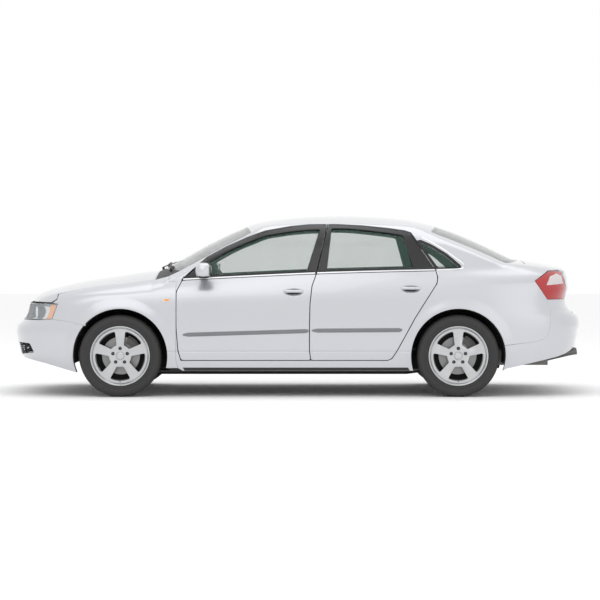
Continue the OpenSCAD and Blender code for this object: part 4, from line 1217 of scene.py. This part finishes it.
def tail_lamp():
    build = Build()
    side = TAIL.from_x(dense([(1966, 763.5), (1866, 910), (1985, 984)], 10, False))
    end_low, end_high = TAIL.from_y([(567, 763.5)])[0], TAIL.from_y([(567, 984)])[0]
    top = [(u, 984.0) for u in np.arange(side[-1][0] - 10, end_high[0] + 5, -12)]
    inner = [(float(np.interp(z, [763.5, 984], [end_low[0], end_high[0]])), z) for z in np.linspace(984,
        763.5, 20)]
    low = [(u, 763.5) for u in np.arange(end_low[0] + 12, side[0][0] - 6, 12)]
    loop = side + top + inner + low
    skin(build, TAIL, loop, depth=45, mat=RED, step=14, lip=3.0)
    pale = TAIL.from_x([(1958, 874), (1990, 944), (2050, 966), (2096, 930), (2105, 874)])
    clear = pale[:3] + [(pale[3][0], 945), (pale[4][0], 886)]
    skin(build, sunk(TAIL, -1.2), dense(clear, 8), depth=4, mat=FROST, step=10, lip=1.0)
    return build


add_both(Build(), tail_lamp()).object("tail_lamp_units", "body", ["tail_lamps"], "red_lens")

# ---------------------------------------------------------------- mirrors
def mirror():
    build = Build()
    # Rounded shell: sections along Y from the door outwards
    n, m = 26, 36
    grid = []
    for i in range(n + 1):
        u = i / n
        y = 872 + 136 * u
        swell = (1 - max(0, (u - 0.45) / 0.55) ** 3.0) ** 0.5 * min(1, 0.72 + u * 1.2) if u < 1 else 0.02
        row = []
        for j in range(m):
            a = 2 * math.pi * j / m
            c, s = math.cos(a), math.sin(a)
            px = -737 - 56 * abs(c) ** 0.72 * swell
            if c >= 0:
                px = -737 + 62 * abs(c) ** 0.5 * min(1, swell * 1.1)
            row.append([px, y, 990 + 62 * math.copysign(abs(s) ** 0.8, s) * swell])
        grid.append(row)
    g = np.array(grid)
    flat = g.reshape(-1, 3)
    du = np.gradient(g, axis=0)
    dv = np.roll(g, -1, 1) - np.roll(g, 1, 1)
    nn = np.cross(dv, du)
    nn /= np.maximum(np.linalg.norm(nn, axis=2, keepdims=True), 1e-9)
    centre = g.mean(axis=(0, 1))
    if np.sum((g - centre) * nn) < 0:
        nn = -nn
    q = [(i * m + j, i * m + (j + 1) % m, (i + 1) * m + (j + 1) % m,
          (i + 1) * m + j) for i in range(n) for j in range(m)]
    a, b, c = (flat[q[200][k]] for k in (0, 1, 2))
    flip = np.dot(np.cross(b - a, c - a), nn.reshape(-1, 3)[q[200][0]]) < 0
    # Painted above, black at the foot
    low = [f for f in q if flat[list(f), 2].mean() < 948]
    high = [f for f in q if flat[list(f), 2].mean() >= 948]
    build.add(flat, high, nn.reshape(-1, 3), PAINT, flip)
    build.add(flat, low, nn.reshape(-1, 3), BLACK, flip)
    build.add(g[0], [tuple(range(m))], None, BLACK, True)
    # Glass on the rear face and foot on the door
    ring = rounded([(886, 948), (992, 952), (990, 1026), (900, 1036)], 16, 6)
    glass = np.array([[-672, p[0], p[1]] for p in ring])
    build.add(glass, [tuple(range(len(ring)))], None, MIRROR, False)
    m = len(ring)
    walls = [(k, (k + 1) % m, m + (k + 1) % m, m + k) for k in range(m)]
    build.add(np.concatenate([glass, glass - [8, 0, 0]]), walls, None, BLACK, True)
    foot = [on_side([(-735.0, 968)])[0] + [0, -16, -6], [-738, 872, 962], [-738, 886, 966]]
    tube(build, foot, 1.0, BLACK, 16, False, (30, 15))
    sail = by_height(dense([(-880, 934), (-706, 942), (-706, 1052), (-716, 1060)], 10))
    skin(build, sunk(SIDE, -1.5), sail, depth=4, mat=BLACK, step=20, lip=1.0)
    return build


both(mirror(), "door_mirror", FRONT_DOORS, ["mirror"], "paint")


# ---------------------------------------------------------------- seats
def cushion(name, profile, width, centre_y, pressure=4.0):
    """Stuffed piece: the outline is swept across, puffed up as cloth under pressure, then smoothed."""
    mesh = bpy.data.meshes.new(name)
    rim = rounded(profile, 40, 3)
    n = len(rim)
    verts = [(x / 1000, (centre_y + s * width / 2) / 1000, z / 1000) for s in (-1, 1) for x, z in rim]
    faces = [(i, (i + 1) % n, n + (i + 1) % n, n + i) for i in range(n)]
    mesh.from_pydata(verts, [], faces + [tuple(range(n))[::-1], tuple(range(n, 2 * n))])
    piece = bpy.data.objects.new(name, mesh)
    bpy.context.scene.collection.objects.link(piece)

    def settle():
        bpy.context.view_layer.update()
        done = bpy.data.meshes.new_from_object(piece.evaluated_get(bpy.context.evaluated_depsgraph_get()))
        piece.modifiers.clear()
        piece.data = done

    fix = bmesh.new()
    fix.from_mesh(mesh)
    bmesh.ops.recalc_face_normals(fix, faces=fix.faces[:])
    fix.to_mesh(mesh)
    fix.free()
    remesh = piece.modifiers.new("even", "REMESH")
    remesh.mode, remesh.voxel_size = "VOXEL", 0.014
    even = piece.modifiers.new("soft", "SMOOTH")
    even.iterations, even.factor = 6, 0.5
    settle()
    rest = np.array([v.co[:] for v in piece.data.vertices])
    cloth = piece.modifiers.new("stuffing", "CLOTH")
    cloth.settings.quality = 4
    cloth.settings.mass = 0.4
    cloth.settings.tension_stiffness = cloth.settings.compression_stiffness = 25
    cloth.settings.shear_stiffness, cloth.settings.bending_stiffness = 15, 2.0
    cloth.settings.use_pressure = True
    cloth.settings.uniform_pressure_force = pressure
    cloth.settings.effector_weights.gravity = 0
    cloth.point_cache.frame_start, cloth.point_cache.frame_end = 1, 16
    for number in range(1, 17):
        bpy.context.scene.frame_set(number)
    settle()
    bpy.context.scene.frame_set(1)
    moved = np.array([v.co[:] for v in piece.data.vertices]) - rest
    size = np.maximum(np.linalg.norm(moved, axis=1, keepdims=True), 1e-9)
    moved *= np.minimum(1, 0.014 / size)
    piece.data.vertices.foreach_set("co", (rest + moved).ravel())
    fine = piece.modifiers.new("fine", "SUBSURF")
    fine.levels = fine.render_levels = 1
    settle()
    piece.data.polygons.foreach_set("use_smooth", [True] * len(piece.data.polygons))
    piece.data.materials.clear()
    piece.data.materials.append(CLOTH)
    return piece


def seam_lines(piece, lines, depth=0.006, width=0.008):
    """Presses sewn lines into a cushion: each line is (axis, value)."""
    co = np.array([v.co[:] for v in piece.data.vertices])
    no = np.array([v.normal[:] for v in piece.data.vertices])
    for axis, value in lines:
        near = np.exp(-(((co[:, axis] - value) / width) ** 2))
        co -= no * (depth * near)[:, None]
    piece.data.vertices.foreach_set("co", co.ravel())
    piece.data.update()


def seat(piece):
    """Attaches a cushion, a padded piece, to the body."""
    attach(piece, "body")


SEAT_Y = 360
SEAMS = [(1, (SEAT_Y - 150) / 1000), (1, (SEAT_Y + 150) / 1000)]
BASE = [(-480, 345), (-484, 430), (-430, 468), (-100, 452), (0, 428), (40, 345)]
BACK = [(-20, 400), (70, 392), (236, 960), (214, 1006), (140, 1006), (66, 880)]
HEAD = [(142, 1038), (172, 1186), (216, 1198), (258, 1160), (234, 1038)]
right_parts = []
for label, profile, width, lines in (
        ("base", BASE, 480, SEAMS + [(0, -0.20)]),
        ("back", BACK, 470, SEAMS + [(2, 0.74)]),
        ("headrest", HEAD, 250, [])):
    part = cushion("seat_" + label + "_right", profile, width, SEAT_Y)
    seam_lines(part, lines)
    right_parts.append(part)
for part in right_parts:
    twin = part.copy()
    twin.data = part.data.copy()
    twin.name = part.name.replace("right", "left")
    bpy.context.scene.collection.objects.link(twin)
    twin.data.transform(Matrix.Scale(-1, 4, (0, 1, 0)))
    twin.data.flip_normals()
    seat(part)
    seat(twin)
frames = Build()
for side in (1, -1):
    for y in (-60, 60):
        tube(frames, [(180, side * SEAT_Y + y, 990), (190, side * SEAT_Y + y, 1050)], 7, CHROME, 12)
    for y in (-180, 180):
        box(frames, (-440, side * SEAT_Y + y - 20, 215.5), (20, side * SEAT_Y + y + 20, 352), BLACK, 5)
    box(frames, (-60, side * SEAT_Y - 225, 300), (90, side * SEAT_Y + 225, 400), BLACK, 16)
frames.object("front_seat_frames", "body", ["front_seats"], "black_plastic")
BENCH = [(500, 225), (470, 395), (520, 445), (955, 420), (955, 382), (862, 380), (862, 225)]
REST = [(884, 428), (975, 428), (1046, 480), (1046, 895), (1028, 952), (962, 952)]
for label, profile, lines in (("bench", BENCH, [(1, 0.19), (1, -0.19)]),
                              ("backrest", REST, [(1, 0.19), (1, -0.19), (2, 0.72)])):
    part = cushion("rear_" + label, profile, 1090, 0)
    seam_lines(part, lines)
    seat(part)
    if label == "bench":
        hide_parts("rear_seat")
REAR_HEAD = [(978, 962), (988, 1072), (1010, 1094), (1044, 1080), (1042, 962)]
for y in (-360, 0, 360):
    seat(cushion("rear_headrest_" + str(y + 360), REAR_HEAD, 212, y))


# ---------------------------------------------------------------- wheels and tyres


SPOKE_DEPTH = 24
AXLE_Y = 760  # from the middle of the car to the middle of a wheel


def bolt_place(i, r=59):
    """Centre of a wheel bolt, in the plane of the wheel."""
    turn = math.radians(90 + 72 * i)
    return r * math.cos(turn), r * math.sin(turn)


def alloy():
    """Five-spoke wheel with bolts and its brake disc; y is outwards."""
    build = Build()

    def face(u, v):
        r = np.hypot(u, v)
        a = np.arctan2(v, u)
        spoke = np.cos(5 * (a - math.pi / 2))
        y = 84 - 10 * smooth(60, 150, r) + 6 * smooth(150, 205, r) + 3.0 * spoke * smooth(60, 110,
            r) * (1 - smooth(170, 200, r))
        return np.stack([u, y, v], -1)
    surface = Surface(face, True)
    outer = arc(0, 0, 214, 0, 360, 120)[:-1]
    windows = []
    for i in range(5):
        mid = 90 + 36 + 72 * i
        half_out = 36 - math.degrees(math.asin(41 / 196))
        rim = arc(0, 0, 196, mid - half_out, mid + half_out, 18)
        hub = arc(0, 0, 88, mid + 16.5, mid - 16.5, 8)
        windows.append(soften(rim, hub))
        windows.append(arc(*bolt_place(i), 13, 0, 360, 20)[:-1])
    cap = arc(0, 0, 31, 0, 360, 40)[:-1]
    skin(build, surface, outer, windows + [cap], depth=SPOKE_DEPTH, mat=ALLOY, step=7, lip=3.0)
    for i in range(5):
        part = Build()
        lathe(part, [(13, 19), (13, 2), (0.1, 2)], BLACK, 20)
        lathe(part, [(0.1, 12), (6, 12), (8.2, 10), (8.2, 0)], CAST, 6, 10)
        bolt_x, bolt_z = bolt_place(i)
        build.join(part, np.array([bolt_x, 62, bolt_z]))
    # Cap, lip, barrel and hub behind
    lathe(build, [(0.1, 85), (10, 85.6), (22, 84.4), (24, 83.0), (26, 84.4), (30, 83), (31, 78)], ALLOY, 48)
    lathe(build, [(31, 84), (31.2, 70), (22, 70)], BLACK, 48)
    lathe(build, [(208, 74), (213, 80), (220, 90), (225, 96.5), (229, 99), (233.5, 98), (235, 95),
                  (235.5, 90)], ALLOY, 120)
    lathe(build, [(234, 92), (222, 80), (221, -80), (236, -94), (236, -100), (224, -100), (210, -78),
                  (208, 60),
                  (190, 64), (212, 78)][::-1], CAST, 96)
    lathe(build, [(30, 60), (72, 58), (80, 40), (82, -14), (30, -14)], CAST, 48)
    # Valve
    tube(build, [(0, 84, -203), (0, 98, -199), (0, 104, -197)], 3.4, BLACK, 10)
    # Brake disc with two faces and vents between them
    for y0, y1 in ((-14, -9.5), (-4.5, 0)):
        lathe(build, [(72, y0), (72, y1), (149, y1), (150, y1 - 0.8), (150, y0 + 0.8), (149, y0), (72, y0)],
              IRON, 96, 20)
    vane = Build()
    box(vane, (96, -10, -1.6), (147, -4, 1.6), IRON)
    mesh = bpy.data.meshes.new("vane")
    mesh.from_pydata((np.concatenate(vane.verts) / 1000).tolist(), [], vane.faces)
    ring = repeat_round(mesh, 36, "disc_vanes")
    verts = np.array([v.co[:] for v in ring.vertices]) * 1000
    build.add(verts, [tuple(p.vertices) for p in ring.polygons], None, IRON)
    return build


def soften(rim, hub):
    """Window between two spokes: rounded corners where the sides meet the rim and the hub."""
    rim, hub = [np.array(p) for p in rim], [np.array(p) for p in hub]

    def bend(before, corner, after, r):
        a = corner + (before - corner) / np.linalg.norm(before - corner) * r
        b = corner + (after - corner) / np.linalg.norm(after - corner) * r
        return [(1 - t) ** 2 * a + 2 * t * (1 - t) * corner + t * t * b for t in np.linspace(0, 1, 5)]

    def side(start, end):
        return [start + (end - start) * t for t in (0.35, 0.5, 0.65)]

    window = bend(hub[-1], rim[0], rim[3], 16) + rim[3:-3] + bend(rim[-4], rim[-1], hub[0], 16)
    window += side(rim[-1], hub[0])
    window += bend(rim[-1], hub[0], hub[2], 10) + hub[2:-2] + bend(hub[-3], hub[-1], rim[0], 10)
    return thinned(window + side(hub[-1], rim[0]), 2.0)


def tyre():
    build = Build()
    outside = [(236, 92), (240, 99.5), (246, 102), (252, 103), (255, 105.5), (259, 104), (270, 109),
               (276, 111), (279, 112.4),
               (282, 111.4), (290, 111.5), (297, 110.5), (300, 108.5), (303, 108.5), (308, 104), (313, 98),
               (316, 90)]
    groove = []
    for c in (62, 21, -21, -62):
        groove += [(316.5, c + 5.5), (309.5, c + 3.5), (309.5, c - 3.5), (316.5, c - 5.5)]
    inside = [(r, -y) for r, y in reversed(outside)]
    lathe(build, (outside + groove + inside)[::-1], TYRE, 144, 30)
    lathe(build, [(236, 92), (236, -92)], TYRE, 96)
    # Tread blocks, cut slanting, on five ribs
    for lane, (y0, y1) in enumerate([(66, 92), (26, 57), (-16, 16), (-57, -26), (-92, -66)]):
        count = 64 if abs(y0 + y1) > 100 else 72
        block = Build()
        length = 2 * math.pi * 318 / count * 0.86 / 2
        slant = 5 if lane % 2 else -5
        low, top = 314.0, 321.3
        drop = 3.8 if abs(y0 + y1) > 100 else 0.0
        outer_side = 1 if y0 > 0 else -1
        def z(y):
            return top - (drop if y * outer_side > 80 else 0)
        pts = []
        for y in (y0, y1):
            for t, s in ((-length, -1), (length, 1)):
                shift = slant * (1 if y == y1 else -1)
                pts += [(low, y, t + shift), (z(y) - 0.7, y, t + shift),
                        (z(y), y + (1 if y == y0 else -1), t + shift - s)]
        verts = np.array(pts)
        faces = [(0, 1, 7, 6), (1, 2, 8, 7), (2, 5, 11, 8), (5, 4, 10, 11), (4, 3, 9, 10), (0, 3, 4, 1),
                 (1, 4, 5, 2),
                 (6, 7, 10, 9), (7, 8, 11, 10)]
        c = verts.mean(0)
        right = []
        for f in faces:
            q = verts[list(f)]
            n = np.cross(q[1] - q[0], q[2] - q[0])
            right.append(f if n @ (q.mean(0) - c) > 0 else f[::-1])
        mesh = bpy.data.meshes.new("block")
        mesh.from_pydata((verts / 1000).tolist(), [], right)
        ring = repeat_round(mesh, count, "tread_" + str(lane))
        spots = np.array([v.co[:] for v in ring.vertices]) * 1000
        build.add(spots, [tuple(p.vertices) for p in ring.polygons], None, TYRE)
    return build


ALLOY_BUILD, TYRE_BUILD = alloy(), tyre()
for x, place in ((FRONT_AXLE, "front"), (REAR_AXLE, "rear")):
    for side, hand in ((1, "right"), (-1, "left")):
        for source, label, slot in ((ALLOY_BUILD, "wheel", "alloy"), (TYRE_BUILD, "tyre", "tyre")):
            build = Build()
            build.join(source if side > 0 else source.mirrored(), (x, side * AXLE_Y, HUB))
            build.object(f"{place}_{label}_detail_{hand}", f"{place}_wheel_{hand}",
                         [f"{place}_{label}_{hand}"], slot)

SECTOR_FACES = [(0, 1, 2, 3), (7, 6, 5, 4), (0, 4, 5, 1), (1, 5, 6, 2), (2, 6, 7, 3), (3, 7, 4, 0)]


def sector(build, x, angles, radii, depths):
    """Block between two angles, two radii and two depths round an axle."""
    (a0, a1), (r0, r1) = angles, radii
    corners = [(r * math.cos(a), AXLE_Y + y, HUB + r * math.sin(a))
               for y in depths for a, r in ((a0, r0), (a1, r0), (a1, r1), (a0, r1))]
    build.add(np.array(corners) + [x, 0, 0], SECTOR_FACES, None, CAST, True)


# Brake calipers and dust shields on the knuckles and the rear carrier
for x, place in ((FRONT_AXLE, "front"), (REAR_AXLE, "rear")):
    caliper = Build()
    for k in range(7):
        angles = [math.radians(v) for v in (18 + k * 7, 26 + k * 7)]
        sector(caliper, x, angles, (104, 158), (-44, -17))
        sector(caliper, x, angles, (104, 158), (3, 16))
        sector(caliper, x, angles, (153, 168), (-44, 16))
    shield = Build()
    lathe(shield, [(34, -26), (198, -26), (200, -28), (200, -30), (34, -30)][::-1], LINER, 64)
    caliper.join(shield, (x, AXLE_Y, HUB))
    if place == "front":
        both(caliper, "front_caliper", ("knuckle_right", "knuckle_left"), (), "cast_metal")
    else:
        add_both(Build(), caliper).object("rear_calipers", "body", (), "cast_metal")

# Inner walls of the wheel houses, exhaust tips and wipers
walls = Build()
for x, y in ((FRONT_AXLE, 468), (REAR_AXLE, 548)):
    rim = arc(x, HUB, 364, -18, 198, 60)
    for side in (1, -1):
        for face, flip in ((y, False), (y - 4, True)):
            pts = np.array([(p[0], side * face, p[1]) for p in rim])
            walls.add(pts, [tuple(range(len(pts)))], None, LINER, flip if side > 0 else not flip)
walls.object("wheel_house_walls", "body", (), "black_plastic")
tips = Build()
for y in (-485, -535):
    ahead = np.array([225.0, 0, 34.0])
    ahead /= np.linalg.norm(ahead)
    part = Build()
    lathe(part, [(22, -6), (22, 60), (26, 63), (27.5, 60), (27.5, -90), (24, -96)][::-1], STEEL, 48)
    lathe(part, [(0.1, 0), (22, 0)][::-1], BLACK, 32)
    turn = Vector((0, 1, 0)).rotation_difference(Vector(ahead)).to_matrix()
    tips.join(part, (2164, y, 337), np.array(turn))
tips.object("exhaust_tips", "body", (), "exhaust_steel")


def on_screen(x, y, lift):
    return [x, y, float(top_z(np.array([float(x)]), np.array([float(y)]))[0]) + lift]


wipers = Build()
for y0, y1, x1 in ((-560, -80, -985), (20, 500, -960)):
    pivot = on_screen(-1105 + 150 * (y0 / 700) ** 2, y0, 0)
    tube(wipers, [pivot, np.array(pivot) + [0, 0, 24]], 10, BLACK, 16)
    heel = np.array(pivot) + [0, 0, 22]
    grip = np.array(on_screen(x1 - 55 + 150 * ((y1 - 120) / 700) ** 2, y1 - 120, 26))
    tube(wipers, [heel, heel * 0.7 + grip * 0.3 + [0, 0, 5], heel * 0.3 + grip * 0.7 + [0, 0, 4], grip], 1.0,
         BLACK, 10, False, (8, 4))
    blade = [on_screen(-1062 + 150 * (y / 700) ** 2, y, 9) for y in np.linspace(y0 + 60, y1 + 60, 30)]
    tube(wipers, blade, 1.0, BLACK, 10, False, (5, 7))
    tube(wipers, [np.array(blade[20]) + [0, 0, 8], grip], 5, BLACK, 8)
wipers.object("wiper_set", "body", ["wipers"], "black_plastic")

# ---------------------------------------------------------------- plain nodes carried over
FINISHES = {
    "floor_pan": SEALER, "bulkheads": SEALER, "wheel_liners": LINER, "engine_block": CAST,
    "front_subframe": SEALER,
    "rear_subframe": SEALER, "exhaust": STEEL, "fuel_tank": BLACK, "door_seals": SEAL, "knuckle_left": CAST,
    "knuckle_right": CAST, "dashboard": TRIM, "steering_wheel": TRIM}
for name, finish in FINISHES.items():
    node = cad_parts[name]
    node.data.materials.clear()
    node.data.materials.append(finish)

# ---------------------------------------------------------------- studio
def studio():
    world = bpy.data.worlds.new("studio")
    bpy.context.scene.world = world
    world.use_nodes = True
    back = world.node_tree.nodes["Background"]
    back.inputs["Color"].default_value = (1, 1, 1, 1)
    back.inputs["Strength"].default_value = 1.0
    mesh = bpy.data.meshes.new("floor")
    mesh.from_pydata([(-40, -40, 0), (40, -40, 0), (40, 40, 0), (-40, 40, 0)], [], [(0, 1, 2, 3)])
    floor = bpy.data.objects.new("floor", mesh)
    bpy.context.scene.collection.objects.link(floor)
    mesh.materials.append(worn("pale_floor", (0.93, 0.93, 0.93), (0.95, 0.95, 0.95), 0.3, 0.8, 20.0, 0.0001))
    for name, place, size, power in (("key", (-2.0, -7.0, 6.5), 6.0, 90.0),
                                     ("top", (0.5, 0.5, 7.5), 7.0, 130.0),
                                     ("fill", (5.0, -8.0, 2.5), 5.0, 30.0)):
        light = bpy.data.lights.new(name, "AREA")
        light.shape, light.size, light.energy = "SQUARE", size, power
        thing = bpy.data.objects.new(name, light)
        thing.location = place
        thing.rotation_euler = (Vector((0, 0, 0.6)) - Vector(place)).to_track_quat("-Z", "Y").to_euler()
        bpy.context.scene.collection.objects.link(thing)
    # Camera square to the left side, as in the photograph
    data = bpy.data.cameras.new("photo_camera")
    data.lens, data.sensor_width = 125.0, 36.0
    camera = bpy.data.objects.new("photo_camera", data)
    camera.location = (0.02, -17.15, 1.13)
    camera.rotation_euler = (math.radians(90 - 1.30), 0, 0)
    bpy.context.scene.collection.objects.link(camera)
    bpy.context.scene.camera = camera
    bpy.context.scene.view_settings.view_transform = "Standard"


studio()
